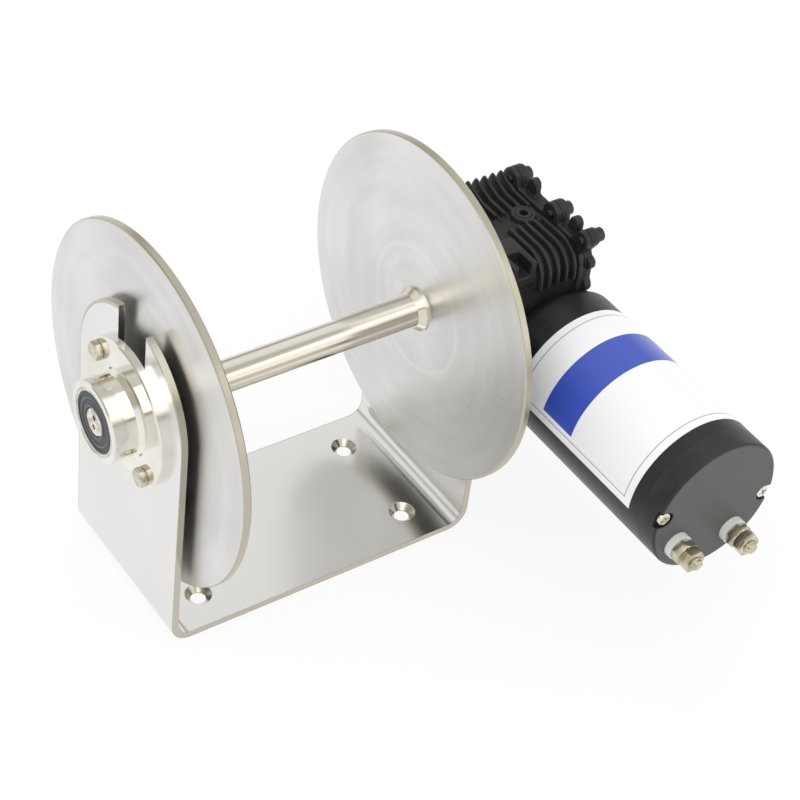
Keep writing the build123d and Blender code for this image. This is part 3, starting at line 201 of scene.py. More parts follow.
class NodeMaker:
    """Builds the nodes of one material or world."""

    def __init__(self, owner: Any, output: str) -> None:
        """Start with an output node only.

        Args:
            owner: The material or world.
            output: Blender's name for the type of its output node.
        """
        owner.use_nodes = True
        self.tree = owner.node_tree
        self.tree.nodes.clear()
        self.output = self.tree.nodes.new(output)

    def node(self, kind: str, settings: Optional[dict[str, Any]] = None,
             inputs: Optional[dict[Any, Any]] = None, output: Any = 0) -> Wire:
        """Add a node of any type.

        Args:
            kind: Blender's name for the node type.
            settings: Properties to set before the sockets.
            inputs: Values or wires by socket name or number.
            output: Name or number of the output to return.

        Returns:
            The chosen output as a wire.
        """
        made = self.tree.nodes.new(kind)
        for key, value in (settings or {}).items():
            setattr(made, key, value)
        for key, value in (inputs or {}).items():
            socket = made.inputs[key]
            if isinstance(value, Wire):
                self.tree.links.new(value.socket, socket)
            else:
                socket.default_value = value
        return Wire(self, made.outputs[output])

    def show(self, shader: Wire) -> None:
        """Lead a shader to the output node."""
        self.tree.links.new(shader.socket, self.output.inputs["Surface"])

    def seen(self) -> Wire:
        """One for rays of the camera, of gloss and through glass, else zero."""
        rays = self.node("ShaderNodeLightPath", output="Is Camera Ray")
        outputs = rays.socket.node.outputs
        for kind in ("Is Glossy Ray", "Is Transmission Ray"):
            inputs = {0: rays, 1: Wire(self, outputs[kind])}
            rays = self.node("ShaderNodeMath", {"operation": "ADD", "use_clamp": True}, inputs)
        return rays


class ShaderMaker(NodeMaker):
    """Builds one material's nodes."""

    # Sockets of the Mix node that carry colours, by number
    mix_factor, mix_first, mix_second, mix_result = 0, 6, 7, 2

    def __init__(self, name: str) -> None:
        """Start an empty material.

        Args:
            name: Name of the material.
        """
        self.material = bpy.data.materials.new(name)
        super().__init__(self.material, "ShaderNodeOutputMaterial")

    def position(self) -> Wire:
        """Object coordinates, in metres."""
        return self.node("ShaderNodeTexCoord", output="Object")

    def parts(self, vector: Wire) -> tuple[Wire, Wire, Wire]:
        """Split a vector.

        Args:
            vector: The vector to split.

        Returns:
            Its X, Y and Z.
        """
        split = self.node("ShaderNodeSeparateXYZ", inputs={0: vector})
        node = split.socket.node
        return tuple(Wire(self, node.outputs[k]) for k in range(3))

    def join(self, x: Any, y: Any, z: Any) -> Wire:
        """Vector of three values."""
        return self.node("ShaderNodeCombineXYZ", inputs={0: x, 1: y, 2: z})

    def noise(self, vector: Wire, scale: float, detail: float = 2.0, roughness: float = 0.5) -> Wire:
        """Noise from 0 to 1.

        Args:
            vector: Where the noise is read.
            scale: Waves per metre.
            detail: Octaves.
            roughness: Share of the fine octaves.

        Returns:
            The noise value.
        """
        inputs = {"Vector": vector, "Scale": scale, "Detail": detail, "Roughness": roughness}
        return self.node("ShaderNodeTexNoise", inputs=inputs)

    def blend(self, factor: Any, first: Any, second: Any) -> Wire:
        """Mix of two colours.

        Args:
            factor: Share of the second colour.
            first: Colour or wire at zero.
            second: Colour or wire at one.

        Returns:
            The mixed colour.
        """
        inputs = {self.mix_factor: factor, self.mix_first: opaque(first), self.mix_second: opaque(second)}
        return self.node("ShaderNodeMix", {"data_type": "RGBA"}, inputs, self.mix_result)

    def bump(self, height: Wire, strength: float, distance: float, edge: float = 0.0) -> Wire:
        """Surface normal from a height, with the edges rounded.

        Args:
            height: Height from 0 to 1.
            strength: Share of the effect.
            distance: Depth in metres.
            edge: Radius of the rounding in metres, none at zero.

        Returns:
            The bent normal.
        """
        inputs = {"Height": height, "Strength": strength, "Distance": distance}
        if edge:
            inputs["Normal"] = self.node("ShaderNodeBevel", {"samples": 6}, {"Radius": edge})
        return self.node("ShaderNodeBump", inputs=inputs)

    def shades(self, colour: Colour, factor: Any, low: float, high: float) -> Wire:
        """Blend between a darker and a lighter shade of one colour.

        Args:
            colour: The middle colour.
            factor: Share of the lighter shade.
            low: Brightness of the darker shade.
            high: Brightness of the lighter shade.

        Returns:
            The mixed colour.
        """
        return self.blend(factor, tuple(c * low for c in colour), tuple(c * high for c in colour))

    def surface(self, **inputs: Any) -> Material:
        """Finish the material with a Principled shader.

        Args:
            inputs: Values or wires by socket name, with underscores for spaces.

        Returns:
            The material.
        """
        named = {key.replace("_", " "): value for key, value in inputs.items()}
        named["Base Color"] = opaque(named["Base Color"])
        self.show(self.node("ShaderNodeBsdfPrincipled", inputs=named))
        return self.material


@dataclass(frozen=True)
class Finish:
    """What all finishes share: a name, and the wiring of a Principled shader's inputs."""

    name: str

    def sockets(self, maker: ShaderMaker, place: Wire) -> dict[str, Any]:
        """Wire up the shader's inputs.

        Args:
            maker: The maker of the material's nodes.
            place: Object coordinates, in metres.

        Returns:
            Values or wires by socket name, with underscores for spaces.
        """
        raise NotImplementedError

    def make(self) -> Material:
        """Build the material.

        Returns:
            The material.
        """
        maker = ShaderMaker(self.name)
        return maker.surface(**self.sockets(maker, maker.position()))


@dataclass(frozen=True)
class PlateSteel(Finish):
    """Satin stainless plate with fine scratches and cloudy smudges; its cut edges and holes are painted a
    darker warm tone, as painted reflection.
    """

    half_width: float
    top_centre: float
    hole_x: float = 0.071
    hole_y: float = 0.032
    hole_radius: float = 0.0088
    colour: Colour = (0.81, 0.805, 0.795)
    reflection_edge_colour: Colour = (0.52, 0.49, 0.41)
    roughness: float = 0.22
    scratch_depth: float = 0.00001
    edge: float = 0.0004
    plate: float = 0.004
    grain_across: float = 900.0
    grain_along: float = 30.0
    cloud_scale: float = 14.0
    smudge_scale: float = 30.0
    top_margin: float = 0.00008

    def sockets(self, maker: ShaderMaker, place: Wire) -> dict[str, Any]:
        """Wire up the shader's inputs."""
        x, y, z = maker.parts(place)
        along = self.grain_along
        grain = maker.noise(maker.join(x * self.grain_across, y * along, z * along), 1.0)
        cloud = maker.noise(place, self.cloud_scale)
        smudge = maker.noise(place, self.smudge_scale, 1.0)
        over = (z - self.top_centre).most(0.0)
        reach = (y * y + over * over).root()
        hole_x = x.absolute() - self.hole_x
        hole_y = y.absolute() - self.hole_y
        hole = (hole_x * hole_x + hole_y * hole_y).root().below(self.hole_radius)
        hole = hole * z.below(self.plate - self.top_margin)
        # Painted reflection: the cut edges and the holes are tinted a darker warm olive that stands in for
        # the warm surroundings they reflect.
        cut = reach.above(self.half_width - self.edge).most(hole)
        tint = maker.blend(cut, maker.shades(self.colour, cloud, 0.90, 1.05), self.reflection_edge_colour)
        rough = self.roughness + (cloud - 0.5) * 0.14 + (smudge - 0.5) * 0.08 + (grain - 0.5) * 0.04
        normal = maker.bump(grain, 0.15, self.scratch_depth, self.edge)
        return dict(Base_Color=tint, Metallic=1.0, Roughness=rough, Normal=normal)


@dataclass(frozen=True)
class TurnedSteel(Finish):
    """Stainless steel turned about the drum axis, with fine rings, a thin ring painted lighter as painted
    highlight, and a rim painted a darker warm tone as painted reflection.
    """

    axis_height: float
    colour: Colour = (0.74, 0.73, 0.71)
    reflection_rim_colour: Colour = (0.50, 0.47, 0.38)
    rim_radius: float = 1.0
    highlight_ring_radius: float = 1.0
    roughness: float = 0.2
    ring_pitch: float = 0.0014
    ring_depth: float = 0.000002
    edge: float = 0.0
    highlight_ring_width: float = 0.0026
    cloud_scale: float = 11.0
    smudge_scale: float = 26.0
    arc_scale: float = 110.0

    def sockets(self, maker: ShaderMaker, place: Wire) -> dict[str, Any]:
        """Wire up the shader's inputs."""
        x, y, z = maker.parts(place)
        up = z - self.axis_height
        radius = (y * y + up * up).root()
        rings = maker.noise(maker.join(radius / self.ring_pitch, x * (0.3 / self.ring_pitch), 0.0), 1.0, 1.0)
        cloud = maker.noise(place, self.cloud_scale)
        smudge = maker.noise(maker.join(x, y, z * 0.6), self.smudge_scale, 1.0)
        arcs = maker.noise(maker.join(radius * self.arc_scale, up.angle_to(y) * 1.6, x * 8.0), 1.0)
        # Painted highlight: a thin ring at the turned step's radius is lightened, standing in for the bright
        # edge of that step.
        line = radius.near(self.highlight_ring_radius, self.highlight_ring_width)
        shade = cloud * 0.45 + smudge * 0.25 + arcs * 0.3 + line * 0.08
        face = maker.shades(self.colour, shade.ramp(0.33, 0.67), 0.87, 1.07)
        # Painted reflection: past the rim radius the face is tinted a darker warm olive, standing in for the
        # warm surroundings that the rim reflects.
        tint = maker.blend(radius.above(self.rim_radius), face, self.reflection_rim_colour)
        rough = self.roughness + (cloud - 0.5) * 0.16 + (arcs - 0.5) * 0.10 + (rings - 0.5) * 0.03
        normal = maker.bump(rings, 0.2, self.ring_depth, self.edge)
        return dict(Base_Color=tint, Metallic=1.0, Roughness=rough, Normal=normal)


@dataclass(frozen=True)
class DrawnBar(Finish):
    """Bright drawn bar with light and dark streaks along it; their olive-brown tone is partly drawing marks
    and partly painted reflection.
    """

    colour: Colour = (0.80, 0.78, 0.73)
    streak_and_reflection: Colour = (0.50, 0.45, 0.34)
    roughness: float = 0.16
    streak_scale: float = 260.0
    fine_scale: float = 1100.0
    fine_depth: float = 0.000004
    edge: float = 0.0003

    def sockets(self, maker: ShaderMaker, place: Wire) -> dict[str, Any]:
        """Wire up the shader's inputs."""
        x, y, z = maker.parts(place)
        streaks = maker.noise(maker.join(x * 2.0, y * self.streak_scale, z * self.streak_scale), 1.0, 3.0)
        fine = maker.noise(maker.join(x * 6.0, y * self.fine_scale, z * self.fine_scale), 1.0)
        # The olive-brown streaks along the bar are partly drawing marks and partly painted reflection of the
        # warm surroundings.
        tint = maker.blend(streaks.ramp(0.42, 0.60) * 0.9, self.colour, self.streak_and_reflection)
        rough = self.roughness + (streaks - 0.5) * 0.12 + (fine - 0.5) * 0.08
        normal = maker.bump(fine, 0.15, self.fine_depth, self.edge)
        return dict(Base_Color=tint, Metallic=1.0, Roughness=rough, Normal=normal)


@dataclass(frozen=True)
class PlainMetal(Finish):
    """Metal with faint clouding, for fasteners, rings and bronze."""

    colour: Colour
    roughness: float = 0.3
    edge: float = 0.0002
    cloud_scale: float = 160.0
    cloud_depth: float = 0.00004

    def sockets(self, maker: ShaderMaker, place: Wire) -> dict[str, Any]:
        """Wire up the shader's inputs."""
        cloud = maker.noise(place, self.cloud_scale, 4.0)
        tint = maker.shades(self.colour, cloud.ramp(0.3, 0.7), 0.72, 1.1)
        rough = self.roughness + (cloud - 0.5) * 0.2
        normal = maker.bump(cloud, 0.1, self.cloud_depth, self.edge)
        return dict(Base_Color=tint, Metallic=1.0, Roughness=rough, Normal=normal)


@dataclass(frozen=True)
class BlackCoat(Finish):
    """Satin black over metal, smooth on a tube or grainy on a casting; an end face can be painted lighter
    than the sides, as painted light.
    """

    colour: Colour = (0.022, 0.022, 0.0222)
    roughness: float = 0.44
    specular: float = 0.3
    grain_scale: float = 600.0
    grain_depth: float = 0.00016
    edge: float = 0.0007
    painted_lit_face_y: float = -1.0
    painted_lit_face_colour: Colour = (0.076, 0.076, 0.077)
    warmth: float = 1.0
    cloud_scale: float = 45.0

    def sockets(self, maker: ShaderMaker, place: Wire) -> dict[str, Any]:
        """Wire up the shader's inputs."""
        x, y, z = maker.parts(place)
        grain = maker.noise(place, self.grain_scale, 4.0, 0.6)
        cloud = maker.noise(place, self.cloud_scale, 4.0)
        light = (self.colour[0] * 1.3 * self.warmth, self.colour[1] * 1.3, self.colour[2] * 1.3 / self.warmth)
        tint = maker.blend(cloud.ramp(0.3, 0.7), tuple(c * 0.75 for c in self.colour), light)
        # Painted light: faces beyond the given Y are painted a lighter grey, standing in for the light that
        # the end face catches.
        tint = maker.blend(y.below(self.painted_lit_face_y), tint, maker.shades(self.painted_lit_face_colour, cloud, 0.85, 1.15))
        rough = self.roughness + (cloud - 0.5) * 0.16 + (grain - 0.5) * 0.08
        normal = maker.bump(grain, 0.35, self.grain_depth, self.edge)
        return dict(Base_Color=tint, Metallic=0.0, Roughness=rough, Normal=normal,
                    Specular_IOR_Level=self.specular)


@dataclass(frozen=True)
class SealRubber(Finish):
    """Black rubber seal with moulded rings and a thin ring tinted lighter."""

    axis_height: float
    colour: Colour = (0.022, 0.023, 0.026)
    light: Colour = (0.16, 0.17, 0.19)
    light_radius: float = 0.0140
    light_width: float = 0.0007
    lip: tuple[float, float] = (0.0095, 0.0115)
    grain_scale: float = 1500.0

    def sockets(self, maker: ShaderMaker, place: Wire) -> dict[str, Any]:
        """Wire up the shader's inputs."""
        x, y, z = maker.parts(place)
        up = z - self.axis_height
        radius = (y * y + up * up).root()
        grain = maker.noise(place, self.grain_scale, 3.0)
        # A thin ring at one radius is tinted lighter.
        lighter_ring = radius.near(self.light_radius, self.light_width)
        inner = radius.ramp(*self.lip, 0.45, 0.0)
        tint = maker.blend(lighter_ring * 0.8 + inner, maker.shades(self.colour, grain, 0.85, 1.1), self.light)
        rough = 0.42 + (grain - 0.5) * 0.12
        return dict(Base_Color=tint, Roughness=rough, Normal=maker.bump(grain, 0.2, 0.00004))


@dataclass(frozen=True)
class Moulded(Finish):
    """Rubber, plastic or carbon with a fine grain."""

    colour: Colour
    roughness: float = 0.6
    grain_scale: float = 1500.0
    cloud_scale: float = 90.0

    def sockets(self, maker: ShaderMaker, place: Wire) -> dict[str, Any]:
        """Wire up the shader's inputs."""
        grain = maker.noise(place, self.grain_scale, 3.0)
        cloud = maker.noise(place, self.cloud_scale, 3.0)
        tint = maker.shades(self.colour, cloud, 0.88, 1.05)
        rough = self.roughness + (grain - 0.5) * 0.1
        return dict(Base_Color=tint, Roughness=rough, Normal=maker.bump(grain, 0.2, 0.00005, 0.0003))


@dataclass(frozen=True)
class LabelFilm(Finish):
    """White film with a blue band and a thin frame line, and no lettering."""

    low_y: float
    high_y: float
    axis_x: float
    axis_z: float
    radius: float
    half_arc: float = math.radians(92)
    band_start: float = 0.0235
    band_width: float = 0.026
    frame_inset: float = 0.005
    frame_width: float = 0.0007
    white: Colour = (0.90, 0.90, 0.91)
    blue: Colour = (0.035, 0.078, 0.46)
    grey: Colour = (0.34, 0.38, 0.44)

    def sockets(self, maker: ShaderMaker, place: Wire) -> dict[str, Any]:
        """Wire up the shader's inputs."""
        x, y, z = maker.parts(place)
        down = self.high_y - y
        band = down.above(self.band_start) * down.below(self.band_start + self.band_width)
        angle = (z - self.axis_z).angle_to(x - self.axis_x)
        around = (angle - math.pi / 2).absolute() * self.radius
        from_edge = self.half_arc * self.radius - around
        length = self.high_y - self.low_y
        from_end = length / 2 - (down - length / 2).absolute()
        inset = from_end.least(from_edge)
        line = (inset - self.frame_inset).absolute().below(self.frame_width / 2)
        cloud = maker.noise(place, 30.0, 3.0)
        ink = maker.blend(band * from_edge.above(self.frame_inset * 1.6),
                          maker.shades(self.white, cloud, 0.97, 1.0), self.blue)
        ink = maker.blend(line, ink, self.grey)
        rough = 0.3 + (cloud - 0.5) * 0.1
        normal = maker.bump(cloud, 0.1, 0.0002)
        return dict(Base_Color=ink, Roughness=rough, Normal=normal, Coat_Weight=0.25, Coat_Roughness=0.2)


class Workshop:
    """Bench work with Blender's own operators; a piece is made upright and then set in its place."""

    face_limit: int = 150000
    smooth_below: float = math.radians(28)
    bevel_above: float = math.radians(35)
    lathe_weld: float = 0.000002
    cast_weld: float = 0.000004
    thread_sink: float = 0.2 * MM
    thread_base: float = 0.86
    thread_crest: float = 0.16
    thread_steps: int = 28
    corner_slope: float = math.radians(30)
    corner_flat: float = 0.475
    hexagon_edge: float = 0.12 * MM

    def __init__(self, frame: dict[str, Any]) -> None:
        """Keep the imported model.

        Args:
            frame: The loaded frame.
        """
        self.frame = frame

    def clear(self) -> None:
        """Leave nothing selected."""
        bpy.ops.object.select_all(action="DESELECT")

    def take(self, piece: Piece) -> None:
        """Select one piece only and make it active.

        Args:
            piece: The piece to work on.
        """
        self.clear()
        piece.select_set(True)
        bpy.context.view_layer.objects.active = piece

    def settle(self) -> Piece:
        """Move the active piece's place, turn and scale into its mesh, and return it."""
        bpy.ops.object.transform_apply(location=True, rotation=True, scale=True)
        return bpy.context.object

    def add(self, primitive: Callable[..., Any], **settings: Any) -> Piece:
        """Add one of Blender's mesh primitives, with its place in the mesh.

        Args:
            primitive: The operator that adds it.
            settings: The operator's settings.

        Returns:
            The new piece.
        """
        self.clear()
        primitive(**settings)
        return self.settle()

    def rod(self, radius: float, low: float, high: float, sides: int = 48, turn: float = 0.0) -> Piece:
        """Add a round or many-sided rod along Z.

        Args:
            radius: Radius to the corners.
            low: Height of its foot.
            high: Height of its top.
            sides: Number of sides.
            turn: Turn about Z in degrees.

        Returns:
            The rod.
        """
        return self.add(bpy.ops.mesh.primitive_cylinder_add, vertices=sides, radius=radius, depth=high - low,
                        location=(0, 0, (low + high) / 2), rotation=(0, 0, math.radians(turn)))

    def cone(self, foot: float, top: float, low: float, high: float, sides: int = 64) -> Piece:
        """Add a cone with a cut top along Z.

        Args:
            foot: Radius at the foot.
            top: Radius at the top.
            low: Height of the foot.
            high: Height of the top.
            sides: Number of sides.

        Returns:
            The cone.
        """
        return self.add(bpy.ops.mesh.primitive_cone_add, vertices=sides, radius1=foot, radius2=top,
                        depth=high - low, location=(0, 0, (low + high) / 2))

    def block(self, size: Point, centre: Point, turn: float = 0.0) -> Piece:
        """Add a block.

        Args:
            size: Lengths along X, Y and Z.
            centre: Its middle.
            turn: Turn about Z in degrees.

        Returns:
            The block.
        """
        return self.add(bpy.ops.mesh.primitive_cube_add, size=1.0, location=centre,
                        rotation=(0, 0, math.radians(turn)), scale=size)

    def lathe(self, profile: Sequence[tuple[float, float]], sides: int = 96) -> Piece:
        """Turn a closed profile about Z.

        Args:
            profile: Radius and height of each corner, in order round the section.
            sides: Steps round the axis.

        Returns:
            The turned ring.
        """
        radius, height = profile[0]
        piece = self.add(bpy.ops.mesh.primitive_circle_add, vertices=sides, radius=radius,
                         location=(0, 0, height))
        bpy.ops.object.mode_set(mode="EDIT")
        bpy.ops.mesh.select_all(action="SELECT")
        for next_radius, next_height in list(profile[1:]) + [profile[0]]:
            bpy.ops.mesh.extrude_edges_move(TRANSFORM_OT_translate={"value": (0, 0, next_height - height)})
            scale = next_radius / radius
            bpy.ops.transform.resize(value=(scale, scale, 1.0), center_override=(0, 0, next_height))
            radius, height = next_radius, next_height
        self.weld(self.lathe_weld)
        return piece

    def weld(self, distance: float) -> None:
        """Merge close vertices, point the faces outward and leave edit mode.

        Args:
            distance: Vertices nearer than this become one.
        """
        bpy.ops.mesh.select_all(action="SELECT")
        bpy.ops.mesh.remove_doubles(threshold=distance)
        bpy.ops.mesh.normals_make_consistent(inside=False)
        bpy.ops.object.mode_set(mode="OBJECT")

    def modify(self, piece: Piece, kind: str, **settings: Any) -> None:
        """Add a modifier and apply it.

        Args:
            piece: The piece to change.
            kind: Blender's name of the modifier.
            settings: Its properties.
        """
        self.take(piece)
        modifier = piece.modifiers.new(kind.lower(), kind)
        for key, value in settings.items():
            setattr(modifier, key, value)
        bpy.ops.object.modifier_apply(modifier=modifier.name)

    def combine(self, piece: Piece, operation: str, *tools: Piece) -> Piece:
        """Cut, join or intersect a piece with tool bodies, which are used up.

        Args:
            piece: The piece to change.
            operation: DIFFERENCE, UNION or INTERSECT.
            tools: The other bodies.

        Returns:
            The piece.
        """
        for tool in tools:
            self.modify(piece, "BOOLEAN", operation=operation, object=tool, solver="EXACT")
            bpy.data.objects.remove(tool, do_unlink=True)
        return piece

    def soften(self, piece: Piece, width: float, segments: int = 2) -> Piece:
        """Round the sharp edges.

        Args:
            piece: The piece to round.
            width: Width of the rounding.
            segments: Steps across it.

        Returns:
            The piece.
        """
        self.modify(piece, "BEVEL", width=width, segments=segments, limit_method="ANGLE",
                    angle_limit=self.bevel_above, use_clamp_overlap=True)
        return piece

    def thread(self, core: float, crest: float, pitch: float, low: float, high: float) -> Piece:
        """Wind a V-shaped ridge about Z.

        Args:
            core: Radius at the root.
            crest: Radius at the crest.
            pitch: Height of one turn.
            low: Where the ridge starts.
            high: Where the ridge ends.

        Returns:
            The ridge, a closed body.
        """
        self.clear()
        inner = core - self.thread_sink
        bpy.ops.mesh.primitive_plane_add(size=1.0, location=((inner + crest) / 2, 0, low + pitch / 2),
                                         rotation=(math.radians(90), 0, 0))
        ridge = bpy.context.object
        ridge.scale = (crest - inner, pitch * self.thread_base, 1.0)
        self.settle()
        middle = low + pitch / 2
        for corner in ridge.data.vertices:
            if corner.co.x > (inner + crest) / 2:
                corner.co.z = middle + (corner.co.z - middle) * self.thread_crest
        bpy.ops.object.mode_set(mode="EDIT")
        bpy.ops.mesh.select_all(action="SELECT")
        bpy.ops.mesh.delete(type="ONLY_FACE")
        bpy.ops.object.mode_set(mode="OBJECT")
        turns = max(1, int((high - low) / pitch - 1))
        self.modify(ridge, "SCREW", screw_offset=pitch, iterations=turns, steps=self.thread_steps,
                    render_steps=self.thread_steps, use_merge_vertices=True, merge_threshold=0.000001)
        bpy.ops.object.mode_set(mode="EDIT")
        bpy.ops.mesh.select_all(action="DESELECT")
        bpy.ops.mesh.select_mode(type="EDGE")
        bpy.ops.mesh.select_non_manifold(extend=False)
        bpy.ops.mesh.edge_face_add()
        bpy.ops.mesh.select_all(action="SELECT")
        bpy.ops.mesh.normals_make_consistent(inside=False)
        bpy.ops.object.mode_set(mode="OBJECT")
        return ridge

    def gather(self, first: Piece, *others: Piece) -> Piece:
        """Join bodies into one object.

        Args:
            first: The object that stays.
            others: The objects that go into it.

        Returns:
            The joined object.
        """
        self.take(first)
        for other in others:
            other.select_set(True)
        bpy.ops.object.join()
        return first

    def hexagon(self, across_flats: float, low: float, high: float, both_ends: bool, turn: float = 0.0
                ) -> Piece:
        """Make a hexagon whose corners are turned off at 30 degrees.

        Args:
            across_flats: Width across the flats.
            low: Height of the foot.
            high: Height of the top.
            both_ends: True for a nut, with its foot turned too.
            turn: Turn about Z in degrees.

        Returns:
            The hexagon.
        """
        body = self.rod(across_flats / math.sqrt(3), low, high, 6, turn)
        spread = (high - low) / math.tan(self.corner_slope)
        flat = self.corner_flat * across_flats
        body = self.combine(body, "INTERSECT", self.cone(flat + spread, flat, low, high))
        if both_ends:
            body = self.combine(body, "INTERSECT", self.cone(flat, flat + spread, low, high))
        return self.soften(body, self.hexagon_edge, 2)

    def place(self, master: Piece, name: str, facing: Facing, spot: Point) -> Piece:
        """Copy a master with its own mesh and set it in its place, with the place in the mesh.

        Args:
            master: The piece modelled upright at the origin.
            name: Name of the copy.
            facing: Which way its top points.
            spot: Where its origin goes.

        Returns:
            The copy.
        """
        self.clear()
        piece = master.copy()
        piece.data = master.data.copy()
        piece.name = name
        piece.data.name = name
        bpy.context.scene.collection.objects.link(piece)
        piece.rotation_euler = [math.radians(a) for a in facing.value]
        piece.location = spot
        self.take(piece)
        self.settle()
        return piece

    def finish(self, piece: Piece, material: Material, slot: str, *nodes: str) -> None:
        """Dress a piece, shade it and tie it to its body.

        Args:
            piece: The finished piece.
            material: Its material.
            slot: The record's slot for the finish; not used.
            nodes: CAD nodes that it stands for.
        """
        self.take(piece)
        bpy.ops.object.shade_smooth_by_angle(angle=self.smooth_below)
        piece.data.materials.clear()
        piece.data.materials.append(material)
        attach(piece, FINE_PIECE_BODY)
        if nodes:
            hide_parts(*nodes)
        replaced = ", ".join(nodes) or "no node"
        LOG.info("made %s, %d faces, for %s", piece.name, len(piece.data.polygons), replaced)

    def fit(self, master: Piece, name: str, facing: Facing, spots: Iterable[Point], material: Material,
            slot: str, *nodes: str) -> None:
        """Set numbered copies of a master in their places, dress them and throw the master away.

        Args:
            master: The piece modelled upright at the origin.
            name: Name of the copies, before their number.
            facing: Which way their tops point.
            spots: Where their origins go.
            material: Their material.
            slot: The record's slot for the finish.
            nodes: CAD nodes that they stand for.
        """
        for number, spot in enumerate(spots, start=1):
            piece = self.place(master, f"{name}_{number}", facing, spot)
            self.finish(piece, material, slot, *nodes)
        self.scrap(master)

    def cast_copy(self, node: str, name: str, rounding: float) -> Piece:
        """Copy a CAD node and melt its sharp edges and corners into the soft ones of a casting.

        Args:
            node: The node to copy.
            name: Name of the copy.
            rounding: Size of the cells that the shape is rebuilt from.

        Returns:
            The rounded copy.
        """
        self.clear()
        source = self.frame["nodes"][node]
        piece = bpy.data.objects.new(name, source.data.copy())
        piece.data.name = name
        bpy.context.scene.collection.objects.link(piece)
        self.take(piece)
        bpy.ops.object.mode_set(mode="EDIT")
        self.weld(self.cast_weld)
        self.modify(piece, "REMESH", mode="VOXEL", voxel_size=rounding, adaptivity=0.0)
        self.modify(piece, "SMOOTH", factor=0.5, iterations=5)
        share = min(1.0, self.face_limit / (2 * len(piece.data.polygons)))
        self.modify(piece, "DECIMATE", decimate_type="COLLAPSE", ratio=share)
        return piece

    def scrap(self, *masters: Piece) -> None:
        """Throw the masters away once they are copied."""
        for master in masters:
            bpy.data.objects.remove(master, do_unlink=True)

    def dress(self, material: Material, *names: str) -> None:
        """Give CAD nodes a material.

        Args:
            material: Their material.
            names: Nodes to dress.
        """
        for name in names:
            node = self.frame["nodes"][name]
            node.data.materials.clear()
            node.data.materials.append(material)
            LOG.info("dressed %s with %s", name, material.name)


@dataclass
class Bracket:
    """The bent base plate with its two uprights."""

    shop: Workshop

    def build(self) -> None:
        """Dress the bracket."""
        low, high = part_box("base_bracket")
        half_width = (high.y - low.y) / 2
        steel = PlateSteel("stainless_plate", half_width, high.z - half_width).make()
        self.shop.dress(steel, "base_bracket")


@dataclass
class NearBearing:
    """The flanged bearing housing on the near upright with its bolts and seal."""

    shop: Workshop
    axis_height: float
    bolt_diameter: float = 6.0 * MM
    bolt_circle: float = 72.0 * MM
    bolt_across_flats: float = 10.0 * MM
    bolt_head: float = 4.0 * MM
    bolt_pitch: float = 1.0 * MM
    thread_depth: float = 0.35 * MM
    chamfer: float = 0.3 * MM
    bolt_end: float = 9.0 * MM
    flange_face: float = -107.0 * MM
    seal_face: float = -123.35 * MM
    # Middle radius, half width and rise of each ring, in millimetres
    ring_sizes: tuple[Point, ...] = ((17.0, 0.75, 0.30), (13.2, 0.45, 0.22), (9.7, 0.60, 0.35))
    ring_foot: float = -0.1 * MM

    def build(self) -> None:
        """Dress the housing, and make its bolts and the seal's rings."""
        polished = TurnedSteel("polished_steel", self.axis_height, (0.83, 0.81, 0.75), roughness=0.1,
                               ring_depth=0.000001).make()
        self.shop.dress(polished, "bearing_housing")
        self.shop.dress(PlainMetal("bearing_steel", GROUND_STEEL, 0.2).make(),
                        "bearing_outer_rings", "bearing_inner_rings", "bearing_rollers")
        rubber = SealRubber("seal_rubber", self.axis_height).make()
        self.shop.dress(rubber, "bearing_seals")
        self.bolts()
        self.seal_rings(rubber)

    def bolts(self) -> None:
        """Make the two hex bolts that hold the housing."""
        steel = PlainMetal("bolt_steel", (0.66, 0.62, 0.50), 0.24).make()
        radius = self.bolt_diameter / 2
        head = self.shop.hexagon(self.bolt_across_flats, 0.3 * MM, self.bolt_head, False, 10.0)
        washer_face = self.shop.rod(self.bolt_across_flats * 0.46, 0.0, 0.35 * MM)
        dish = self.shop.cone(self.bolt_across_flats * 0.36, self.bolt_across_flats * 0.42,
                              self.bolt_head - 0.15 * MM, self.bolt_head + 0.1 * MM)
        head = self.shop.combine(head, "DIFFERENCE", dish)
        root = radius - self.thread_depth
        shank = self.shop.soften(self.shop.rod(root, -self.bolt_end, 0.1 * MM), self.chamfer)
        ridge = self.shop.thread(root, radius, self.bolt_pitch, self.chamfer - self.bolt_end, -self.chamfer)
        master = self.shop.gather(head, washer_face, shank, ridge)
        reach = self.bolt_circle / 2 * math.sin(math.radians(45))
        spots = [(self.flange_face, across, self.axis_height + across) for across in (reach, -reach)]
        self.shop.fit(master, "housing_bolt", Facing.NEAR, spots, steel, "bolt_steel", "housing_bolts")

    def seal_rings(self, rubber: Material) -> None:
        """Make the raised rings moulded on the seal.

        Args:
            rubber: The seal's material.
        """
        for number, (middle, half, rise) in enumerate(self.ring_sizes, start=1):
            profile = [((middle - half) * MM, self.ring_foot), ((middle + half) * MM, self.ring_foot),
                       ((middle + half * 0.8) * MM, rise * 0.8 * MM), ((middle + half * 0.4) * MM, rise * MM),
                       ((middle - half * 0.4) * MM, rise * MM), ((middle - half * 0.8) * MM, rise * 0.8 * MM)]
            master = self.shop.lathe(profile)
            spot = (self.seal_face, 0, self.axis_height)
            ring = self.shop.place(master, f"seal_ring_{number}", Facing.NEAR, spot)
            self.shop.finish(ring, rubber, "black_rubber")
            self.shop.scrap(master)


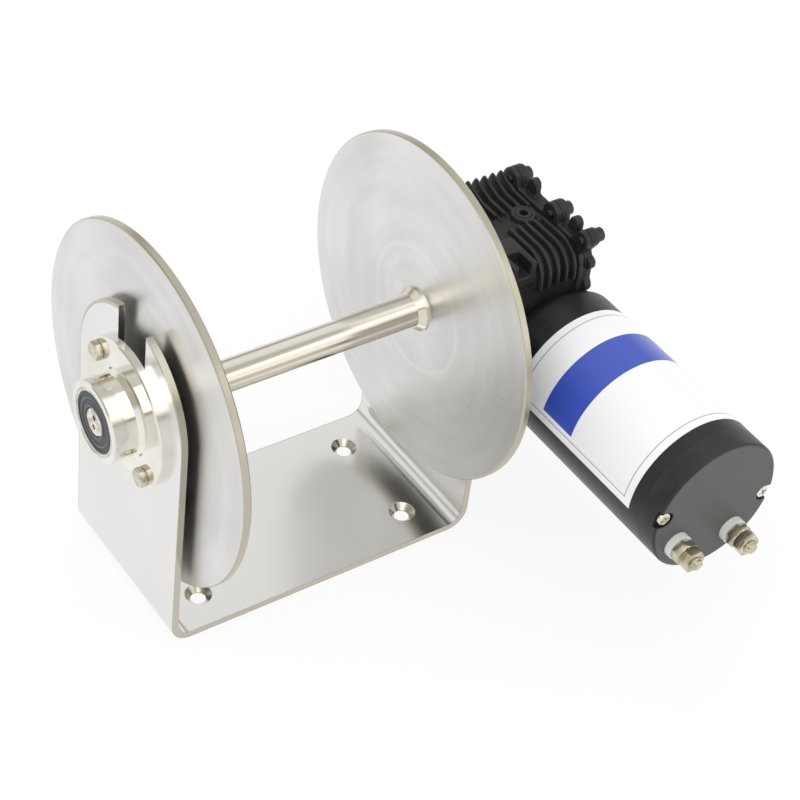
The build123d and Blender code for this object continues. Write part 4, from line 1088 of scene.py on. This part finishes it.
@dataclass
class Drum:
    """The shaft with its two discs and collars."""

    shop: Workshop
    axis_height: float
    rim_margin: float = 0.7 * MM
    # Radius of the painted highlight ring on the discs.
    highlight_ring_radius: float = 39.5 * MM

    def build(self) -> None:
        """Dress the drum's nodes."""
        low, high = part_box("drum_disc_near")
        rim = (high.z - low.z) / 2 - self.rim_margin
        discs = TurnedSteel("disc_steel", self.axis_height, (0.745, 0.735, 0.72), rim_radius=rim,
                            highlight_ring_radius=self.highlight_ring_radius, roughness=0.31).make()
        self.shop.dress(discs, "drum_disc_near", "drum_disc_far")
        self.shop.dress(DrawnBar("drawn_bar").make(), "drum_shaft")
        collar = TurnedSteel("collar_steel", self.axis_height, (0.74, 0.70, 0.60), roughness=0.16).make()
        self.shop.dress(collar, "hub_collars")


@dataclass
class Gearbox:
    """The finned worm gearbox on the far upright."""

    shop: Workshop
    axis_height: float
    screw_places: tuple[tuple[float, float], ...] = ((-6.5, 44.0), (33.0, 43.0), (-36.0, 45.0), (40.0, 2.0),
                                                      (36.0, -51.0), (-22.0, -56.0))
    screw_diameter: float = 5.0 * MM
    screw_head: float = 8.5 * MM
    screw_head_height: float = 4.5 * MM
    socket_across_flats: float = 4.0 * MM
    cover_face: float = 181.0 * MM
    screw_end: float = 169.5 * MM
    rounding: float = 0.75 * MM

    def build(self) -> None:
        """Dress the gearbox and make its cover screws."""
        cast = BlackCoat("black_casting", warmth=1.12).make()
        self.shop.dress(cast, "filler_plug", "worm_end_plug")
        for node, name in (("gearbox_housing", "finned_casting"), ("gearbox_cover", "cover_casting")):
            piece = self.shop.cast_copy(node, name, self.rounding)
            self.shop.finish(piece, cast, "black_casting", node)
            bpy.ops.object.shade_smooth()
        for inner, *nodes in (
                (PlainMetal("ground_steel", GROUND_STEEL, 0.2), "worm_shaft", "wheel_key", "shaft_circlip"),
                (PlainMetal("bronze", BRONZE, 0.35), "worm_wheel", "worm_bushes"),
                (Moulded("black_rubber", (0.02, 0.02, 0.02)), "cover_gasket", "output_seal", "worm_seal"),
                (PlainMetal("screw_steel", (0.6, 0.58, 0.5)), "gearbox_mount_screws")):
            self.shop.dress(inner.make(), *nodes)
        self.cover_screws()

    def cover_screws(self) -> None:
        """Make the six socket screws of the cover."""
        black = BlackCoat("black_oxide", (0.016, 0.015, 0.014), 0.35, 0.5, 1200.0, 0.00003, 0.0002).make()
        head = self.shop.rod(self.screw_head / 2, 0.0, self.screw_head_height, 64)
        head = self.shop.soften(head, 0.45 * MM, 3)
        socket = self.shop.rod(self.socket_across_flats / math.sqrt(3), self.screw_head_height - 2.4 * MM,
                               self.screw_head_height + MM, 6)
        lead = self.shop.cone(self.socket_across_flats * 0.5, self.socket_across_flats * 0.66,
                              self.screw_head_height - 0.4 * MM, self.screw_head_height + 0.1 * MM)
        head = self.shop.combine(head, "DIFFERENCE", socket, lead)
        depth = self.cover_face - self.screw_end
        root = self.screw_diameter / 2 - 0.3 * MM
        shank = self.shop.soften(self.shop.rod(root, -depth, 0.2 * MM), 0.3 * MM)
        ridge = self.shop.thread(root, self.screw_diameter / 2, 0.8 * MM, -depth + 0.3 * MM, -0.5 * MM)
        master = self.shop.gather(head, shank, ridge)
        spots = [(self.cover_face, y * MM, self.axis_height + height * MM) for y, height in self.screw_places]
        self.shop.fit(master, "cover_screw", Facing.FAR, spots, black, "bolt_steel", "cover_screws")


@dataclass
class Motor:
    """The round motor with its label, tie bolts and power terminals."""

    shop: Workshop
    axis_x: float = 160.0 * MM
    axis_z: float = 106.0 * MM
    cap_face: float = -191.7 * MM
    bolt_radius: float = 37.9 * MM
    bolt_angle: float = -10.0
    bolt_head: float = 8.5 * MM
    bolt_head_low: float = -188.1 * MM
    bolt_head_height: float = 3.0 * MM
    bolt_length: float = 140.1 * MM
    terminal_radius: float = 30.0 * MM
    terminal_angles: tuple[float, float] = (-145.0, -55.0)
    stud_diameter: float = 8.0 * MM
    stud_pitch: float = 1.25 * MM
    stud_inside: float = -178.0 * MM
    stud_end: float = -211.7 * MM
    nut_seat: float = -195.7 * MM
    nut_across_flats: float = 13.0 * MM
    nut_height: float = 6.5 * MM
    nut_turns: tuple[float, float] = (8.0, 32.0)

    def build(self) -> None:
        """Dress the motor, and make its bolts, studs and nuts."""
        cast = BlackCoat("motor_casting", (0.016, 0.016, 0.0165), 0.4, 0.35, 500.0, 0.00006).make()
        self.shop.dress(cast, "motor_front_bell")
        # Painted light: the cap's flat end face is painted lighter than its sides.
        cap = BlackCoat("cap_casting", (0.020, 0.020, 0.0205), 0.42, 0.35, 420.0, 0.00006, 0.0006,
                        self.cap_face + 0.4 * MM).make()
        self.shop.dress(cap, "motor_end_cap")
        paint = BlackCoat("can_paint", (0.014, 0.014, 0.0145), 0.36, 0.35, 300.0, 0.00004, 0.0004).make()
        self.shop.dress(paint, "motor_can")
        for inner, *nodes in (
                (Moulded("dark_mould", (0.05, 0.05, 0.05)), "motor_magnets", "brush_plate", "brushes"),
                (Moulded("pale_mould", (0.74, 0.77, 0.73), 0.4), "terminal_insulators"),
                (PlainMetal("copper", (0.72, 0.36, 0.2), 0.35), "armature_windings", "commutator"),
                (PlainMetal("laminations", (0.35, 0.35, 0.36), 0.5), "armature_core"),
                (PlainMetal("bush_bronze", BRONZE, 0.35), "end_bush")):
            self.shop.dress(inner.make(), *nodes)
        steel = PlainMetal("bright_screw", (0.84, 0.82, 0.74), 0.2).make()
        self.shop.dress(steel, "motor_screws", "brush_springs")
        self.label()
        self.tie_bolts(steel)
        self.terminals()

    def label(self) -> None:
        """Dress the plain wrap."""
        can_low, can_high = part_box("motor_can")
        low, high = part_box("motor_label")
        film = LabelFilm("label_film", low.y, high.y, self.axis_x, self.axis_z, (can_high.x - can_low.x) / 2)
        self.shop.dress(film.make(), "motor_label")

    def round_axis(self, radius: float, angle: float, y: float) -> Point:
        """Place on a circle round the motor's axis.

        Args:
            radius: Radius of the circle.
            angle: Angle from +X towards +Z, in degrees.
            y: Place along the axis.

        Returns:
            The point.
        """
        turn = math.radians(angle)
        return (self.axis_x + radius * math.cos(turn), y, self.axis_z + radius * math.sin(turn))

    def tie_bolts(self, steel: Material) -> None:
        """Make the two long bolts with crossed recesses in their domed heads.

        Args:
            steel: Their material.
        """
        head = self.shop.rod(self.bolt_head / 2, 0.0, self.bolt_head_height, 64)
        head = self.shop.soften(head, 1.1 * MM, 5)
        slots = [self.shop.block((0.62 * self.bolt_head, 1.0 * MM, 3.0 * MM),
                                 (0, 0, self.bolt_head_height + 0.1 * MM), turn) for turn in (20.0, 110.0)]
        head = self.shop.combine(head, "DIFFERENCE", *slots)
        shank = self.shop.rod(2.5 * MM, -self.bolt_length, 0.2 * MM, 32)
        master = self.shop.gather(head, shank)
        spots = [self.round_axis(self.bolt_radius, self.bolt_angle + turn, self.bolt_head_low)
                 for turn in (0.0, 180.0)]
        self.shop.fit(master, "tie_bolt", Facing.MOTOR_END, spots, steel, "bolt_steel", "through_bolts")

    def terminals(self) -> None:
        """Make the threaded power studs and their nuts."""
        steel = PlainMetal("terminal_steel", (0.62, 0.57, 0.42), 0.22).make()
        radius = self.stud_diameter / 2
        root = radius - 0.6 * MM
        inside = self.nut_seat - self.stud_inside
        reach = self.nut_seat - self.stud_end
        stem = self.shop.soften(self.shop.rod(root, 0.0, reach, 48), 0.7 * MM, 3)
        collar = self.shop.rod(6.0 * MM, inside, inside + 3.0 * MM, 48)
        stem_inside = self.shop.rod(radius, inside, 0.5 * MM, 48)
        ridge = self.shop.thread(root, radius, self.stud_pitch, 0.0, reach - 0.2 * MM)
        stud = self.shop.gather(stem, collar, stem_inside, ridge)
        nuts = []
        for number, turn in enumerate(self.nut_turns):
            low = number * self.nut_height
            nut = self.shop.hexagon(self.nut_across_flats, low + 0.05 * MM, low + self.nut_height, True, turn)
            bore = self.shop.rod(radius - 0.15 * MM, low - MM, low + self.nut_height + MM, 48)
            lead = self.shop.cone(radius - 0.6 * MM, radius + 0.5 * MM, low + self.nut_height - 1.0 * MM,
                                  low + self.nut_height + 0.1 * MM)
            nuts.append(self.shop.combine(nut, "DIFFERENCE", bore, lead))
        for side, angle in enumerate(self.terminal_angles, start=1):
            spot = self.round_axis(self.terminal_radius, angle, self.nut_seat)
            piece = self.shop.place(stud, f"terminal_stud_{side}", Facing.MOTOR_END, spot)
            self.shop.finish(piece, steel, "bolt_steel", "terminal_studs")
            for number, nut in enumerate(nuts, start=1):
                piece = self.shop.place(nut, f"terminal_nut_{side}_{number}", Facing.MOTOR_END, spot)
                self.shop.finish(piece, steel, "bolt_steel", "terminal_nuts")
        self.shop.scrap(stud, *nuts)


@dataclass
class Studio:
    """Floor, lights, background and the camera at the photograph's angle."""

    shop: "Workshop"
    camera_place: Point = (-0.56488, -0.78755, 0.96480)
    camera_turn: Point = (48.274, -5.952, -34.199)
    lens: float = 102.58
    floor_size: float = 30.0
    floor_colour: Colour = (0.97, 0.97, 0.97)
    floor_glow: float = 0.83
    sky_light: Colour = (0.82, 0.82, 0.83)
    sky_stops: tuple[tuple[float, Colour], ...] = (
        (0.0, (1.0, 1.0, 1.0)), (0.22, (1.0, 1.0, 1.0)), (0.33, (0.52, 0.49, 0.41)),
        (0.47, (0.55, 0.52, 0.45)), (0.62, (0.95, 0.95, 0.93)), (1.0, (0.88, 0.88, 0.88)))
    aim: Point = (0.05, 0.0, 0.10)
    floor_drop: float = 0.2 * MM
    sensor: float = 36.0
    view_range: tuple[float, float] = (0.01, 50.0)

    def build(self) -> None:
        """Make the camera, floor, world and lamps."""
        self.camera()
        self.floor()
        self.world()
        self.lamp("key", (-0.9, -0.9, 1.7), 2.0, 15.0, True)
        self.lamp("fill", (1.4, -1.5, 1.0), 1.8, 6.5, True)
        self.lamp("back", (0.6, 1.6, 1.5), 2.4, 10.0, False)

    def camera(self) -> None:
        """Place the camera that the photograph was taken with."""
        self.shop.clear()
        bpy.ops.object.camera_add(location=self.camera_place,
                                  rotation=tuple(math.radians(a) for a in self.camera_turn))
        camera = bpy.context.object
        camera.name = "photo_camera"
        camera.data.lens = self.lens
        camera.data.sensor_width = self.sensor
        camera.data.clip_start, camera.data.clip_end = self.view_range
        bpy.context.scene.camera = camera

    def floor(self) -> None:
        """Lay a plain pale floor that keeps a faint shadow and looks white."""
        self.shop.clear()
        bpy.ops.mesh.primitive_plane_add(size=self.floor_size, location=(0, 0, -self.floor_drop))
        floor = bpy.context.object
        floor.name = "studio_floor"
        maker = ShaderMaker("studio_floor")
        shade = maker.node("ShaderNodeBsdfDiffuse", inputs={"Color": opaque(self.floor_colour)})
        glow = maker.node("ShaderNodeEmission", inputs={"Color": (1.0, 1.0, 1.0, 1.0), "Strength": 1.0})
        share = maker.seen() * self.floor_glow
        maker.show(maker.node("ShaderNodeMixShader", inputs={0: share, 1: shade, 2: glow}))
        floor.data.materials.append(maker.material)

    def world(self) -> None:
        """Light from a soft sky; it looks white low down, warm grey above that and pale overhead."""
        world = bpy.data.worlds.new("studio_sky")
        bpy.context.scene.world = world
        maker = NodeMaker(world, "ShaderNodeOutputWorld")
        place = maker.node("ShaderNodeTexCoord", output="Generated")
        up = maker.node("ShaderNodeSeparateXYZ", inputs={0: place}, output="Z")
        ramp = maker.node("ShaderNodeValToRGB", inputs={"Fac": up})
        stops = ramp.socket.node.color_ramp.elements
        for number, (spot, colour) in enumerate(self.sky_stops):
            stop = stops[number] if number < 2 else stops.new(spot)
            stop.position = spot
            stop.color = opaque(colour)
        light = maker.node("ShaderNodeBackground", inputs={"Color": opaque(self.sky_light)})
        shown = maker.node("ShaderNodeBackground", inputs={"Color": ramp})
        maker.show(maker.node("ShaderNodeMixShader", inputs={0: maker.seen(), 1: light, 2: shown}))

    def lamp(self, name: str, place: Point, size: float, power: float, mirrored: bool) -> None:
        """Hang one soft square lamp that points at the object.

        Args:
            name: Name of the lamp.
            place: Where it hangs.
            size: Side length in metres.
            power: Watts.
            mirrored: True where polished metal shows the lamp.
        """
        self.shop.clear()
        away = Vector(place) - Vector(self.aim)
        turn = away.to_track_quat("Z", "Y").to_euler()
        bpy.ops.object.light_add(type="AREA", location=place, rotation=turn)
        lamp = bpy.context.object
        lamp.name = f"lamp_{name}"
        lamp.data.size = size
        lamp.data.energy = power
        lamp.visible_glossy = mirrored


def main() -> None:
    """Load the model, make and dress its sub-assemblies, and set the studio."""
    logging.basicConfig(level=logging.INFO, format="%(message)s")
    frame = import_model()
    bpy.context.scene.view_settings.view_transform = "Standard"
    shop = Workshop(frame)
    low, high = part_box("drum_disc_near")
    axis_height = (low.z + high.z) / 2
    Bracket(shop).build()
    NearBearing(shop, axis_height).build()
    Drum(shop, axis_height).build()
    Gearbox(shop, axis_height).build()
    Motor(shop).build()
    Studio(shop).build()


if __name__ == "__main__":
    main()
